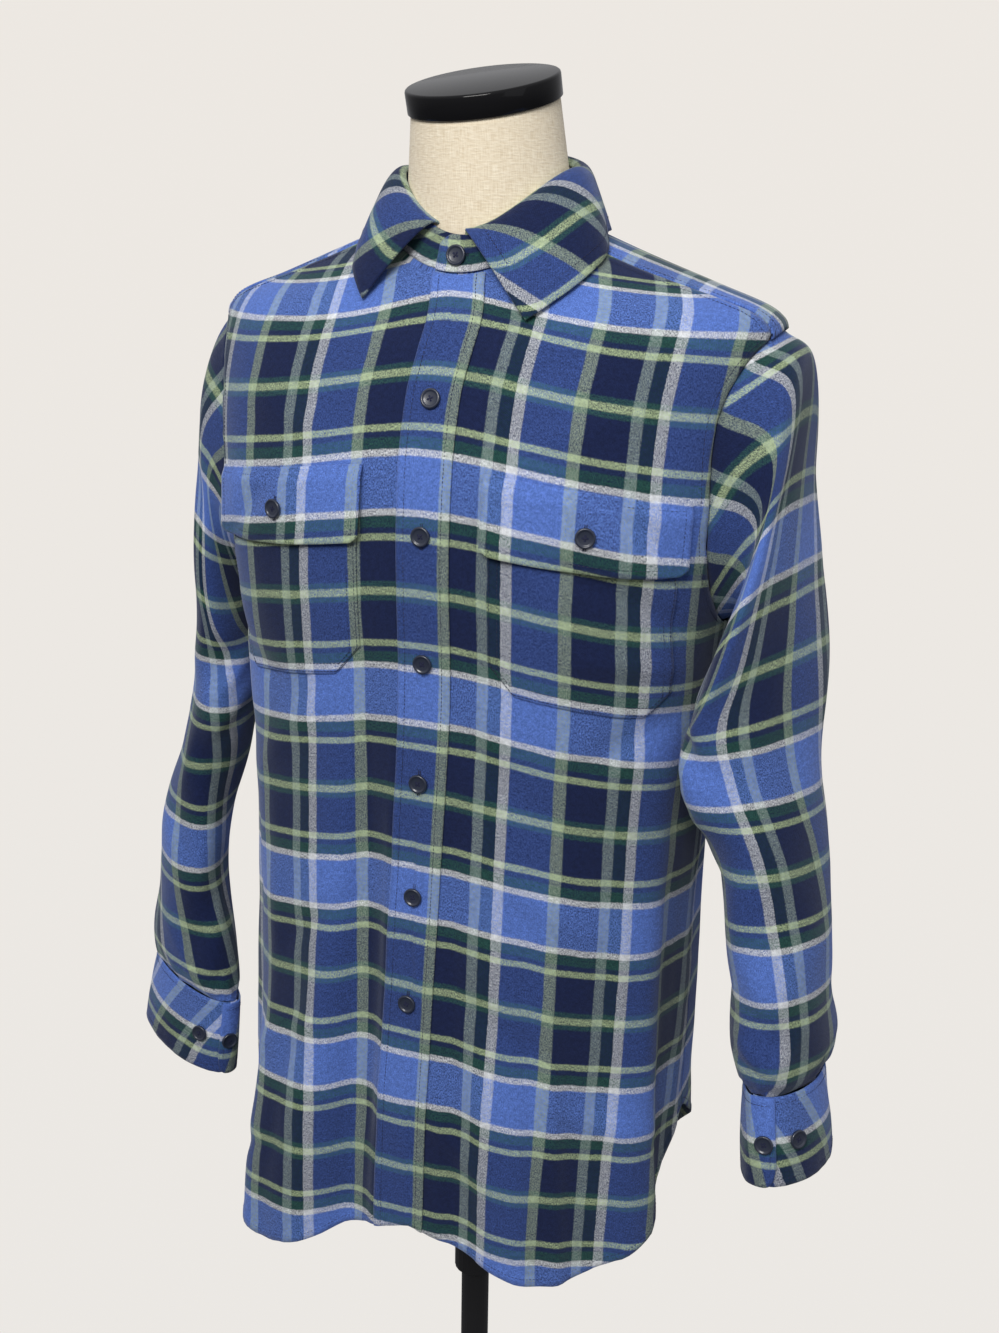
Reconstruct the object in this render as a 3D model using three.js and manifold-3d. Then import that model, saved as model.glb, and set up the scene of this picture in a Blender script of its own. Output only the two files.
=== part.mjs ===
import * as THREE from 'three';
import { mergeVertices } from 'three/addons/utils/BufferGeometryUtils.js';
import Module from 'manifold-3d';

// A men's flannel shirt, buttoned to the collar, on a limbless dress form with a telescoping stand.
// Millimetres. The front faces -Y, the wearer's left is +X and the floor is z = 0.

// Cloth
const wall = 1.6;
const seamGap = 0.3;
const layAir = 0.8;
const bandWidth = 38;
const bandSet = 2;
const frontSplit = 10;

// The body's cloth, one row a ring. side is the ring's height at the side seam, and names the ring.
// front and back are its heights at the centres, half its half width, fore and aft its depths,
// square the exponent of its outline and shift its sideways lean.
const bodyRings = [
  { side: 600, front: 628, back: 618, half: 177, fore: 144, aft: 128, square: 3.0, shift: -3 },
  { side: 740, front: 768, back: 758, half: 177, fore: 138, aft: 124, square: 2.9, shift: -3 },
  { side: 880, front: 908, back: 898, half: 176, fore: 129, aft: 118, square: 2.7, shift: -3 },
  { side: 1020, front: 1048, back: 1038, half: 176, fore: 122, aft: 114, square: 2.6, shift: -2 },
  { side: 1130, front: 1158, back: 1150, half: 179, fore: 121, aft: 116, square: 2.6, shift: 0 },
  { side: 1210, front: 1240, back: 1232, half: 186, fore: 124, aft: 119, square: 2.7, shift: 0 },
  { side: 1280, front: 1303, back: 1300, half: 195, fore: 119, aft: 119, square: 2.8, shift: 0 },
  { side: 1345, front: 1352, back: 1355, half: 202, fore: 106, aft: 110, square: 2.6, shift: 0 },
  { side: 1385, front: 1381, back: 1388, half: 206, fore: 95, aft: 98, square: 2.3, shift: 4 },
  { side: 1405, front: 1397, back: 1411, half: 200, fore: 86, aft: 90, square: 2.1, shift: 6 },
  { side: 1422, front: 1409, back: 1431, half: 160, fore: 78, aft: 82, square: 2.05, shift: 5 },
  { side: 1440, front: 1419, back: 1449, half: 114, fore: 70, aft: 74, square: 2.0, shift: 2 },
  { side: 1457, front: 1428, back: 1465, half: 71, fore: 62, aft: 66, square: 2.0, shift: 0 },
];
const neckRing = 1457;

// Height of the hem's ring at each angle from the centre front, for both sides.
const hemCurve = [
  { angle: 0, ring: 697 },
  { angle: 20, ring: 684 },
  { angle: 40, ring: 674 },
  { angle: 55, ring: 692 },
  { angle: 70, ring: 727 },
  { angle: 82, ring: 765 },
  { angle: 90, ring: 786 },
  { angle: 98, ring: 768 },
  { angle: 112, ring: 724 },
  { angle: 132, ring: 682 },
  { angle: 155, ring: 660 },
  { angle: 180, ring: 655 },
];
const rightHemDrop = 16;

// The body's largest folds: where they lie, how wide and deep, between which rings, and their lean
// in degrees for each 100 mm down. A negative depth is a trough.
const bodyFolds = [
  { at: -17, width: 8, depth: -13, top: 1210, bottom: 560, lean: -0.6 },
  { at: -33, width: 9, depth: 6, top: 1080, bottom: 560, lean: -0.4 },
  { at: -44, width: 13, depth: 21, top: 900, bottom: 560, lean: -1.2 },
  { at: -58, width: 10, depth: -6, top: 1010, bottom: 560, lean: 0.8 },
  { at: 17, width: 7, depth: -6, top: 900, bottom: 560, lean: 1.2 },
  { at: 30, width: 8, depth: 7, top: 950, bottom: 560, lean: 0.6 },
  { at: 47, width: 9, depth: -9, top: 1060, bottom: 560, lean: 0.7 },
  { at: 62, width: 8, depth: 7, top: 900, bottom: 560, lean: -0.3 },
  { at: 78, width: 8, depth: -6, top: 1150, bottom: 620, lean: 0.4 },
  { at: 108, width: 9, depth: -8, top: 1120, bottom: 560, lean: 0.9 },
  { at: 133, width: 10, depth: 8, top: 1000, bottom: 560, lean: -0.4 },
  { at: 158, width: 11, depth: -8, top: 1160, bottom: 560, lean: 0.5 },
  { at: 183, width: 10, depth: 6, top: 980, bottom: 560, lean: 0.2 },
  { at: 208, width: 11, depth: -9, top: 1100, bottom: 560, lean: -0.8 },
  { at: 232, width: 9, depth: 7, top: 940, bottom: 560, lean: 0.3 },
  { at: 255, width: 9, depth: -7, top: 1130, bottom: 600, lean: -0.5 },
];

// Armhole: an oval in ring heights and angles about the side.
const armhole = { low: 1192, high: 1397, foreAngle: 20, aftAngle: 24 };
const yokeSeam = { neckAngle: 70, tipAngle: 83, backRing: 1368 };
const yokeRows = [armhole.high, 1407, 1420, 1438, neckRing];

// Pockets and flaps: distances from the centre front along the cloth, and ring heights.
const pocket = { inner: 48, width: 130, top: 1268, bottom: 1133, chamfer: 19 };
const flap = { over: 4, top: 1285, bottom: 1227, outerLift: 10, rise: 2.2 };

const degrees = Math.PI / 180;

function smoothStep(from, to, value) {
  const t = THREE.MathUtils.clamp((value - from) / (to - from), 0, 1);
  return t * t * (3 - 2 * t);
}

// Reads a table between its rows with smooth curves, column by column.
function readTable(rows, key, value) {
  let i = 0;
  while (i < rows.length - 2 && value > rows[i + 1][key]) i += 1;
  const before = rows[Math.max(i - 1, 0)];
  const a = rows[i];
  const b = rows[i + 1];
  const after = rows[Math.min(i + 2, rows.length - 1)];
  const span = b[key] - a[key];
  const t = THREE.MathUtils.clamp((value - a[key]) / span, 0, 1);
  const read = {};
  for (const name of Object.keys(a)) {
    const slopeA = ((b[name] - before[name]) / (b[key] - before[key])) * span;
    const slopeB = ((after[name] - a[name]) / (after[key] - a[key])) * span;
    const square = t * t;
    const cube = square * t;
    read[name] = (2 * cube - 3 * square + 1) * a[name] + (cube - 2 * square + t) * slopeA
      + (3 * square - 2 * cube) * b[name] + (cube - square) * slopeB;
  }
  return read;
}

function foldDepth(angle, ring) {
  let depth = 0;
  for (const fold of bodyFolds) {
    const centre = fold.at + (fold.lean * (fold.top - ring)) / 100;
    let away = (((angle - centre) % 360) + 540) % 360 - 180;
    away /= fold.width;
    const reach = smoothStep(fold.top, fold.top - 0.62 * (fold.top - fold.bottom), ring);
    depth += fold.depth * reach * Math.exp(-away * away);
  }
  return depth;
}

// A point of the body's cloth at an angle from the centre front and a ring.
function bodyPoint(angle, ring) {
  const size = readTable(bodyRings, 'side', ring);
  const across = Math.sin(angle * degrees);
  const forward = Math.cos(angle * degrees);
  const depth = forward > 0 ? size.fore : size.aft;
  const power = size.square;
  const reach = (Math.abs(across) / size.half) ** power + (Math.abs(forward) / depth) ** power;
  const radius = reach ** (-1 / power) + foldDepth(angle, ring);
  const end = forward > 0 ? size.front : size.back;
  const height = ring + (end - ring) * forward * forward;
  return new THREE.Vector3(radius * across + size.shift, -radius * forward, height);
}

function bodyNormal(angle, ring) {
  const step = 0.5;
  const along = bodyPoint(angle + step, ring).sub(bodyPoint(angle - step, ring));
  const up = bodyPoint(angle, Math.min(ring + 1, neckRing)).sub(bodyPoint(angle, ring - 1));
  return along.cross(up).normalize();
}

function bodyRaised(angle, ring, out) {
  return bodyPoint(angle, ring).addScaledVector(bodyNormal(angle, ring), out);
}

// The angle that lies a distance along a ring from another angle.
function angleAcross(ring, distance, start = 0) {
  const step = Math.sign(distance);
  let angle = start;
  let left = Math.abs(distance);
  let point = bodyPoint(angle, ring);
  for (;;) {
    const next = bodyPoint(angle + step, ring);
    const length = next.distanceTo(point);
    if (length >= left) return angle + (step * left) / length;
    left -= length;
    angle += step;
    point = next;
  }
}

function hemRing(angle) {
  const turned = (((angle % 360) + 540) % 360) - 180;
  const ring = readTable(hemCurve, 'angle', Math.abs(turned)).ring;
  const away = (turned + 52) / 22;
  return ring - rightHemDrop * Math.exp(-away * away);
}

// The front band drifts towards the wearer's right below the chest.
function bandDrift(ring) {
  return -9 * smoothStep(1150, 700, ring);
}

// Normals of a grid of points, turned away from its centre line.
function gridNormals(rows, loop, outwards) {
  const last = rows.length - 1;
  const width = rows[0].length;
  const pick = (i, j) => {
    const row = rows[THREE.MathUtils.clamp(i, 0, last)];
    return row[loop ? (j + width) % width : THREE.MathUtils.clamp(j, 0, width - 1)];
  };
  let sum = 0;
  const normals = rows.map((row, i) => row.map((point, j) => {
    const along = pick(i, j + 1).clone().sub(pick(i, j - 1));
    const up = pick(i + 1, j).clone().sub(pick(i - 1, j));
    const normal = along.cross(up).normalize();
    sum += normal.dot(outwards(point));
    return normal;
  }));
  if (sum < 0) normals.forEach((row) => row.forEach((normal) => normal.negate()));
  return normals;
}

// Closes a grid of points into a wall. The points are the cloth's inner side, and the outer side is
// the same grid moved along its normals. fixed holds rows whose normals are given.
function gridWall(rows, { loop = false, outwards, thickness = wall, fixed = {} }) {
  const normals = gridNormals(rows, loop, outwards);
  Object.entries(fixed).forEach(([i, row]) => { normals[i] = row; });
  const width = rows[0].length;
  const count = rows.length * width;
  const positions = [];
  rows.forEach((row) => row.forEach((point) => positions.push(point.x, point.y, point.z)));
  rows.forEach((row, i) => row.forEach((point, j) => {
    const outer = point.clone().addScaledVector(normals[i][j], thickness);
    positions.push(outer.x, outer.y, outer.z);
  }));
  const faces = [];
  const quad = (a, b, c, d) => faces.push(a, b, c, a, c, d);
  const at = (i, j) => i * width + (j % width);
  const cells = loop ? width : width - 1;
  for (let i = 0; i < rows.length - 1; i += 1) {
    for (let j = 0; j < cells; j += 1) {
      const corner = [at(i, j), at(i, j + 1), at(i + 1, j + 1), at(i + 1, j)];
      quad(...corner.map((index) => index + count));
      quad(...[...corner].reverse());
    }
  }
  const rim = (a, b) => quad(a, b, b + count, a + count);
  for (let j = 0; j < cells; j += 1) {
    rim(at(0, j), at(0, j + 1));
    rim(at(rows.length - 1, j + 1), at(rows.length - 1, j));
  }
  if (!loop) {
    for (let i = 0; i < rows.length - 1; i += 1) {
      rim(at(i + 1, 0), at(i, 0));
      rim(at(i, width - 1), at(i + 1, width - 1));
    }
  }
  return closedGeometry(positions, faces);
}

// Turns the faces outwards if the enclosed volume comes out negative.
function closedGeometry(positions, faces) {
  const corner = (index) => new THREE.Vector3().fromArray(positions, index * 3);
  let volume = 0;
  for (let f = 0; f < faces.length; f += 3) {
    volume += corner(faces[f]).dot(corner(faces[f + 1]).cross(corner(faces[f + 2])));
  }
  const indices = volume < 0 ? [...faces].reverse() : faces;
  const geometry = new THREE.BufferGeometry();
  geometry.setAttribute('position', new THREE.Float32BufferAttribute(positions, 3));
  geometry.setIndex(indices);
  geometry.computeVertexNormals();
  return geometry;
}

const steps = (count) => Array.from({ length: count + 1 }, (unused, i) => i / count);
const mix = THREE.MathUtils.lerp;
const fromAxis = (point) => new THREE.Vector3(point.x, point.y, 0);

// Fronts: rows from the hem up to the neck, columns from the band out to the side seam, armhole
// and yoke seam.
const skirtTop = 880;

function armholeSide(ring, halfAngle) {
  const middle = (armhole.low + armhole.high) / 2;
  const reach = (ring - middle) / (armhole.high - middle);
  return halfAngle * Math.sqrt(Math.max(0, 1 - Math.abs(reach) ** 2.4));
}

function yokeAngle(ring) {
  return mix(yokeSeam.tipAngle, yokeSeam.neckAngle, smoothStep(armhole.high, neckRing, ring));
}

function frontEdge(ring) {
  if (ring <= armhole.low) return 90;
  if (ring >= armhole.high) return yokeAngle(ring);
  return Math.min(90 - armholeSide(ring, armhole.foreAngle), yokeAngle(ring));
}

function frontRows() {
  const skirt = steps(6).map((t) => (angle) => mix(hemRing(angle), skirtTop, t));
  const heights = [935, 990, 1045, 1100, 1150, armhole.low, 1193.6, 1198, 1208, 1226, 1252, 1284, 1316];
  const upper = [...heights, 1344, 1366, 1380, 1390, ...yokeRows];
  return [...skirt, ...upper.map((ring) => () => ring)];
}

function front(side) {
  const gap = side > 0 ? seamGap : 0;
  const rows = frontRows().map((ringAt) => {
    const middle = ringAt(0);
    const start = angleAcross(middle, frontSplit + gap + bandDrift(middle));
    return steps(12).map((s) => {
      let angle = start;
      let ring = ringAt(start);
      for (let pass = 0; pass < 3; pass += 1) {
        const seam = (seamGap / 2) / 180 / degrees;
        angle = mix(start, side * (frontEdge(ring) - seam), s);
        ring = ringAt(angle);
      }
      return bodyPoint(angle, ring);
    });
  });
  return gridWall(rows, { outwards: fromAxis });
}

// Back: from side seam to side seam below the yoke.
function backEdge(ring) {
  return ring <= armhole.low ? 90 : 90 + armholeSide(ring, armhole.aftAngle);
}

function back() {
  const skirt = steps(5).map((t) => (angle) => mix(hemRing(angle), skirtTop, t));
  const heights = [950, 1010, 1070, 1125, armhole.low, 1193.6, 1198, 1208, 1226, 1252, 1284, 1318, 1346];
  const upper = [...heights, yokeSeam.backRing].map((ring) => () => ring);
  const rows = [...skirt, ...upper].map((ringAt) => steps(20).map((s) => {
    let angle = 180;
    let ring = ringAt(angle);
    for (let pass = 0; pass < 3; pass += 1) {
      const edge = backEdge(ring) + (seamGap / 2) / 180 / degrees;
      angle = mix(edge, 360 - edge, s);
      ring = ringAt(angle);
    }
    return bodyPoint(angle, ring);
  }));
  return gridWall(rows, { outwards: fromAxis });
}

// Yoke: columns run from the left front seam over the shoulder and round the back to the right.
function yokeEdge(angle) {
  const side = angle > 180 ? 360 - angle : angle;
  const middle = (armhole.low + armhole.high) / 2;
  const half = side < 90 ? armhole.foreAngle : armhole.aftAngle;
  const reach = Math.min(1, Math.abs(side - 90) / half);
  const oval = middle + (armhole.high - middle) * (1 - reach * reach) ** (1 / 2.4);
  return Math.max(oval, yokeSeam.backRing + seamGap);
}

function yoke() {
  const corner = 90 + armholeSide(yokeSeam.backRing, armhole.aftAngle);
  const tip = yokeSeam.tipAngle + 0.15;
  const side = [...steps(5).map((t) => mix(tip, corner, t)), 122, 136, 150, 165];
  const columns = [...side, 180, ...[...side].reverse().map((angle) => 360 - angle)];
  const rows = yokeRows.map((height) => columns.map((outer) => {
    const t = (height - armhole.high) / (neckRing - armhole.high);
    const fromBack = Math.min(outer, 360 - outer);
    const spread = (fromBack - yokeSeam.tipAngle) / (180 - yokeSeam.tipAngle);
    const ring = mix(yokeEdge(outer), neckRing, t);
    const seam = yokeAngle(ring) + 0.25;
    const angle = mix(seam, 180, spread);
    return bodyPoint(outer > 180 ? 360 - angle : angle, ring);
  }));
  return gridWall(rows, { outwards: (point) => new THREE.Vector3(point.x, point.y, 120) });
}

// Sleeves. Each row is a section down the sleeve: its centre, its tilt from level, its half sizes
// from inner to outer side (thin) and from front to back (broad), the turn of its front edge
// towards the body, and how far that edge nods down. x is measured outwards on both sides.
const leftSleeve = [
  { x: 217, y: 0, z: 1288, tilt: 80, thin: 89, broad: 71, turn: 0, nod: 0 },
  { x: 214, y: -8, z: 1240, tilt: 68, thin: 62, broad: 72, turn: 20, nod: 0 },
  { x: 217, y: -27, z: 1192, tilt: 52, thin: 39, broad: 72, turn: 33, nod: 0 },
  { x: 218, y: -41, z: 1148, tilt: 26, thin: 29, broad: 68, turn: 38, nod: 0 },
  { x: 222, y: -42, z: 1100, tilt: 8, thin: 31, broad: 64, turn: 32, nod: 2 },
  { x: 234, y: -38, z: 1044, tilt: 4, thin: 34, broad: 60, turn: 22, nod: 4 },
  { x: 243, y: -39, z: 990, tilt: 5, thin: 33, broad: 58, turn: 15, nod: 5 },
  { x: 251, y: -41, z: 938, tilt: 6, thin: 34, broad: 57, turn: 12, nod: 6 },
  { x: 256, y: -43, z: 900, tilt: 6, thin: 36, broad: 59, turn: 11, nod: 6 },
  { x: 258, y: -45, z: 877, tilt: 7, thin: 32, broad: 53, turn: 10, nod: 6 },
  { x: 259, y: -46, z: 866, tilt: 8, thin: 25, broad: 46, turn: 10, nod: 6 },
];
const rightSleeve = [
  { x: 205, y: 5, z: 1282, tilt: 82, thin: 86, broad: 62, turn: 0, nod: 0 },
  { x: 208, y: 7, z: 1234, tilt: 76, thin: 62, broad: 61, turn: 3, nod: 0 },
  { x: 213, y: 8, z: 1182, tilt: 62, thin: 43, broad: 62, turn: 5, nod: 0 },
  { x: 219, y: 8, z: 1136, tilt: 30, thin: 29, broad: 62, turn: 9, nod: 0 },
  { x: 229, y: 7, z: 1090, tilt: 10, thin: 27, broad: 61, turn: 14, nod: 1 },
  { x: 240, y: 4, z: 1036, tilt: 6, thin: 28, broad: 59, turn: 22, nod: 2 },
  { x: 254, y: 0, z: 982, tilt: 4, thin: 28, broad: 57, turn: 30, nod: 3 },
  { x: 262, y: -6, z: 926, tilt: 3, thin: 29, broad: 56, turn: 40, nod: 4 },
  { x: 260, y: -14, z: 872, tilt: 3, thin: 31, broad: 57, turn: 52, nod: 4 },
  { x: 256, y: -19, z: 842, tilt: 9, thin: 29, broad: 56, turn: 58, nod: 4 },
  { x: 254, y: -22, z: 830, tilt: 12, thin: 21, broad: 55, turn: 62, nod: 4 },
];
const cuff = { depth: 66, flare: 4, lapFrom: 70, lapTo: 104, round: 16 };

// Folds across and down the sleeve: angle round the sleeve (0 outer, 90 front), place down it from
// 0 to 1, and how far they reach round and along it.
const sleeveFolds = [
  { at: 70, down: 0.24, round: 60, along: 0.07, depth: 5, slant: 0.06 },
  { at: 105, down: 0.37, round: 55, along: 0.045, depth: -8, slant: -0.07 },
  { at: 130, down: 0.46, round: 60, along: 0.045, depth: 6, slant: -0.05 },
  { at: 100, down: 0.55, round: 60, along: 0.05, depth: -7, slant: 0.07 },
  { at: 250, down: 0.42, round: 65, along: 0.06, depth: -7, slant: 0.06 },
  { at: 20, down: 0.66, round: 60, along: 0.06, depth: 4, slant: 0.07 },
  { at: 95, down: 0.76, round: 60, along: 0.045, depth: -6, slant: -0.06 },
  { at: 290, down: 0.72, round: 55, along: 0.05, depth: -6, slant: 0.05 },
];

// The left sleeve swings forward, and its cloth bags out at the front of the armpit.
const armpitFold = { at: 120, down: 0.2, round: 42, along: 0.08, depth: 22, slant: 0 };

function sleeveFold(side, around, down, fade) {
  let depth = 0;
  for (const fold of side > 0 ? [...sleeveFolds, armpitFold] : sleeveFolds) {
    const away = ((((around - fold.at) % 360) + 540) % 360 - 180) / fold.round;
    const along = (down - fold.down - fold.slant * away) / fold.along;
    depth += fold.depth * Math.exp(-away * away - along * along);
  }
  return depth * fade;
}

function sectionAxes(section) {
  const tilt = section.tilt * degrees;
  const outward = new THREE.Vector3(Math.cos(tilt), 0, Math.sin(tilt));
  const forward = new THREE.Vector3(0, -1, 0);
  const down = outward.clone().cross(forward);
  outward.applyAxisAngle(down, section.turn * degrees);
  forward.applyAxisAngle(down, section.turn * degrees);
  forward.applyAxisAngle(outward, -section.nod * degrees);
  down.applyAxisAngle(outward, -section.nod * degrees);
  return { outward, forward, down };
}

function sectionPoint(section, side, around, grow = 0, drop = 0) {
  const { outward, forward, down } = sectionAxes(section);
  const point = new THREE.Vector3(section.x, section.y, section.z).addScaledVector(down, drop);
  point.addScaledVector(outward, (section.thin + grow) * Math.cos(around * degrees));
  point.addScaledVector(forward, (section.broad + grow) * Math.sin(around * degrees));
  point.x *= side;
  return point;
}

const armholeGap = 0.95;

function armholePoint(side, around, into) {
  const middle = (armhole.low + armhole.high) / 2;
  const angleOf = (turn) => {
    const half = turn < 180 ? armhole.foreAngle : armhole.aftAngle;
    return 90 - half * Math.sin(turn * degrees);
  };
  const ringOf = (turn) => {
    const up = Math.cos(turn * degrees);
    return middle + (armhole.high - middle) * Math.sign(up) * Math.abs(up) ** 0.833;
  };
  const point = bodyPoint(side * angleOf(around), ringOf(around));
  const next = bodyPoint(side * angleOf(around + 1), ringOf(around + 1));
  const before = bodyPoint(side * angleOf(around - 1), ringOf(around - 1));
  const normal = bodyNormal(side * angleOf(around), ringOf(around));
  const inward = next.sub(before).cross(normal).normalize();
  const centre = bodyPoint(side * 90, middle);
  if (inward.dot(centre.sub(point)) < 0) inward.negate();
  return { point: point.addScaledVector(inward, into), normal };
}

// The sleeve's cloth: smooth curves from the armhole down through the sections.
function sleevePoint(table, side, around, down) {
  const first = armholePoint(side, around, armholeGap);
  const stations = [first.point, ...table.map((section) => sectionPoint(section, side, around))];
  const spot = down * (stations.length - 1);
  const i = Math.min(Math.floor(spot), stations.length - 2);
  const t = spot - i;
  const a = stations[i];
  const b = stations[i + 1];
  const slopeA = i > 0 ? b.clone().sub(stations[i - 1]).multiplyScalar(0.5) : b.clone().sub(a);
  const slopeB = i + 2 < stations.length
    ? stations[i + 2].clone().sub(a).multiplyScalar(0.5) : b.clone().sub(a);
  const point = a.clone().multiplyScalar(2 * t ** 3 - 3 * t ** 2 + 1);
  point.addScaledVector(slopeA, t ** 3 - 2 * t ** 2 + t);
  point.addScaledVector(b, 3 * t ** 2 - 2 * t ** 3);
  point.addScaledVector(slopeB, t ** 3 - t ** 2);
  const section = readTable(table.map((row, k) => ({ ...row, k })), 'k', Math.max(0, spot - 1));
  const axis = new THREE.Vector3(side * section.x, section.y, section.z);
  const fade = smoothStep(0.06, 0.2, down) * (1 - smoothStep(0.93, 0.99, down));
  const out = point.clone().sub(axis).normalize();
  return point.addScaledVector(out, sleeveFold(side, around, down, fade));
}

function sleeveAxis(table, side) {
  return (point) => {
    const section = readTable([...table].reverse(), 'z', point.z);
    return new THREE.Vector3(point.x - side * section.x, point.y - section.y, 0);
  };
}

function sleeve(table, side) {
  const around = steps(20).slice(0, -1).map((s) => s * 360);
  const count = 26;
  const rows = steps(count).map((t) => around.map((turn) => sleevePoint(table, side, turn, t)));
  const wrist = table[table.length - 1];
  const level = (turn) => sectionPoint(wrist, side, turn, 1).sub(sectionPoint(wrist, side, turn));
  const fixed = {
    0: around.map((turn) => armholePoint(side, turn, seamGap).normal),
    [count]: around.map((turn) => level(turn).normalize()),
  };
  return gridWall(rows, { loop: true, outwards: sleeveAxis(table, side), fixed });
}

// Cuff: an open band round the wrist. Its rounded end laps over the other one at the front.
function cuffPoint(table, side, around, down, out) {
  const wrist = table[table.length - 1];
  const grow = cuff.flare * Math.sin(down * 1.5);
  return sectionPoint(wrist, side, around, grow + out, seamGap + down * cuff.depth);
}

function cuffBand(table, side) {
  const rows = steps(3).map((t) => steps(26).map((s) => {
    const around = mix(cuff.lapFrom, cuff.lapTo + 360, s);
    const lapped = 1 - smoothStep(cuff.lapTo, cuff.lapTo + 30, around);
    const fromEnd = Math.max(0, 1 - (around - cuff.lapFrom) / cuff.round);
    const bottom = 1 - 0.24 * (1 - Math.sqrt(1 - fromEnd * fromEnd));
    return cuffPoint(table, side, around, t * bottom, lapped * (wall + layAir));
  }));
  return gridWall(rows, { outwards: sleeveAxis(table, side) });
}

// Sleeve placket: a square-topped strip above the cuff, raised on the sleeve's own surface.
const sleevePlacket = { around: 62, width: 24, top: 0.8, bottom: 0.97 };

function sleeveRaised(table, side, around, down, out) {
  const point = sleevePoint(table, side, around, down);
  const turned = sleevePoint(table, side, around + 1, down);
  const lower = sleevePoint(table, side, around, Math.min(1, down + 0.002));
  const upper = sleevePoint(table, side, around, down - 0.002);
  const normal = turned.sub(point).cross(lower.sub(upper)).normalize();
  if (normal.dot(sleeveAxis(table, side)(point)) < 0) normal.negate();
  return point.addScaledVector(normal, out);
}

function sleeveStrip(table, side) {
  const rows = steps(12).map((t) => {
    const down = mix(sleevePlacket.top, sleevePlacket.bottom, t);
    return steps(2).map((s) => {
      const around = sleevePlacket.around + (s - 0.5) * sleevePlacket.width;
      return sleeveRaised(table, side, around, down, wall + layAir + 0.3);
    });
  });
  return gridWall(rows, { outwards: sleeveAxis(table, side) });
}

// Collar: a stand round the neck, lapped at the front, and a leaf that folds down from its top.
const standTop = { half: 61, fore: 54, aft: 57, front: 1453, side: 1493, back: 1505 };
const collarLeft = [
  { place: 0, angle: 32, ring: 1405 },
  { place: 0.2, angle: 46, ring: 1421 },
  { place: 0.4, angle: 64, ring: 1438 },
  { place: 0.6, angle: 88, ring: 1452 },
  { place: 0.8, angle: 132, ring: 1450 },
  { place: 1, angle: 180, ring: 1448 },
];
const collarRight = [
  { place: 0, angle: 41, ring: 1414 },
  { place: 0.2, angle: 51, ring: 1430 },
  { place: 0.4, angle: 62, ring: 1444 },
  { place: 0.6, angle: 88, ring: 1454 },
  { place: 0.8, angle: 132, ring: 1451 },
  { place: 1, angle: 180, ring: 1448 },
];
const leafWall = 2.2;
const leafRise = 1.4;
// The collar has slipped round a little, so its two ends start at unlike angles.
const leafFrom = { left: 4, right: 20 };
const leafCrest = { out: 9.5, lift: 3.5, liftBack: 3, rise: 2.6 };
const leafRest = 2.6;
// The stand's left end laps over its right end between these angles.
const collarLap = { from: -13, to: 372, full: 13, none: 34 };

function standTopPoint(angle) {
  const across = Math.sin(angle * degrees);
  const forward = Math.cos(angle * degrees);
  const depth = forward > 0 ? standTop.fore : standTop.aft;
  const radius = 1 / Math.hypot(across / standTop.half, forward / depth);
  const end = forward > 0 ? standTop.front : standTop.back;
  const height = standTop.side + (end - standTop.side) * forward * forward;
  return new THREE.Vector3(radius * across, -radius * forward, height);
}

function outwardAt(angle) {
  return new THREE.Vector3(Math.sin(angle * degrees), -Math.cos(angle * degrees), 0);
}

function standPoint(angle, up, out) {
  const foot = bodyPoint(angle, neckRing);
  foot.z += seamGap + wall * Math.max(0, bodyNormal(angle, neckRing).z);
  return foot.lerp(standTopPoint(angle), up).addScaledVector(outwardAt(angle), out);
}

function collarStand() {
  const rows = steps(3).map((t) => steps(32).map((s) => {
    const angle = mix(collarLap.from, collarLap.to, s);
    const lapped = 1 - smoothStep(collarLap.full, collarLap.none, angle);
    const lower = Math.max(0, 1 - Math.min(angle - collarLap.from, collarLap.to - angle) / 9);
    return standPoint(angle, t * (1 - 0.3 * lower * lower), lapped * (wall + layAir));
  }));
  return gridWall(rows, { outwards: fromAxis });
}

function collarLeaf() {
  const places = steps(15);
  const left = places.map((place) => [1, place]);
  const right = [...places].reverse().slice(1).map((place) => [-1, place]);
  const rows = steps(5).map((t) => [...left, ...right].map(([side, place]) => {
    const edge = readTable(side > 0 ? collarLeft : collarRight, 'place', place);
    const angle = side * mix(side > 0 ? leafFrom.left : leafFrom.right, 180, place);
    const fold = standTopPoint(angle);
    const outward = outwardAt(angle);
    const lift = leafCrest.lift + leafCrest.liftBack * place;
    const lapped = 1 - smoothStep(collarLap.full, collarLap.none, side * angle);
    const start = fold.clone().addScaledVector(outward, side > 0 ? lapped * (wall + layAir) : 0);
    start.z += leafRise;
    const crest = fold.clone().addScaledVector(outward, leafCrest.out);
    crest.z += lift * leafCrest.rise;
    const end = bodyRaised(side * edge.angle, edge.ring, wall + leafRest);
    const curve = new THREE.QuadraticBezierCurve3(start, crest, end);
    return curve.getPoint(t);
  }));
  const centre = new THREE.Vector3(0, 0, 1400);
  return gridWall(rows, { outwards: (point) => point.clone().sub(centre), thickness: leafWall });
}

// Front band, pockets and flaps lie on the fronts and are made from their points, moved out.
function frontBand() {
  const rows = frontRows().map((ringAt) => steps(3).map((s) => {
    const across = bandSet + (s - 0.5) * bandWidth;
    const middle = ringAt(0);
    const angle = angleAcross(middle, across + bandDrift(middle) + 1e-6);
    return bodyRaised(angle, Math.min(ringAt(angle), neckRing - 5), wall + layAir);
  }));
  return gridWall(rows, { outwards: fromAxis });
}

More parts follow.
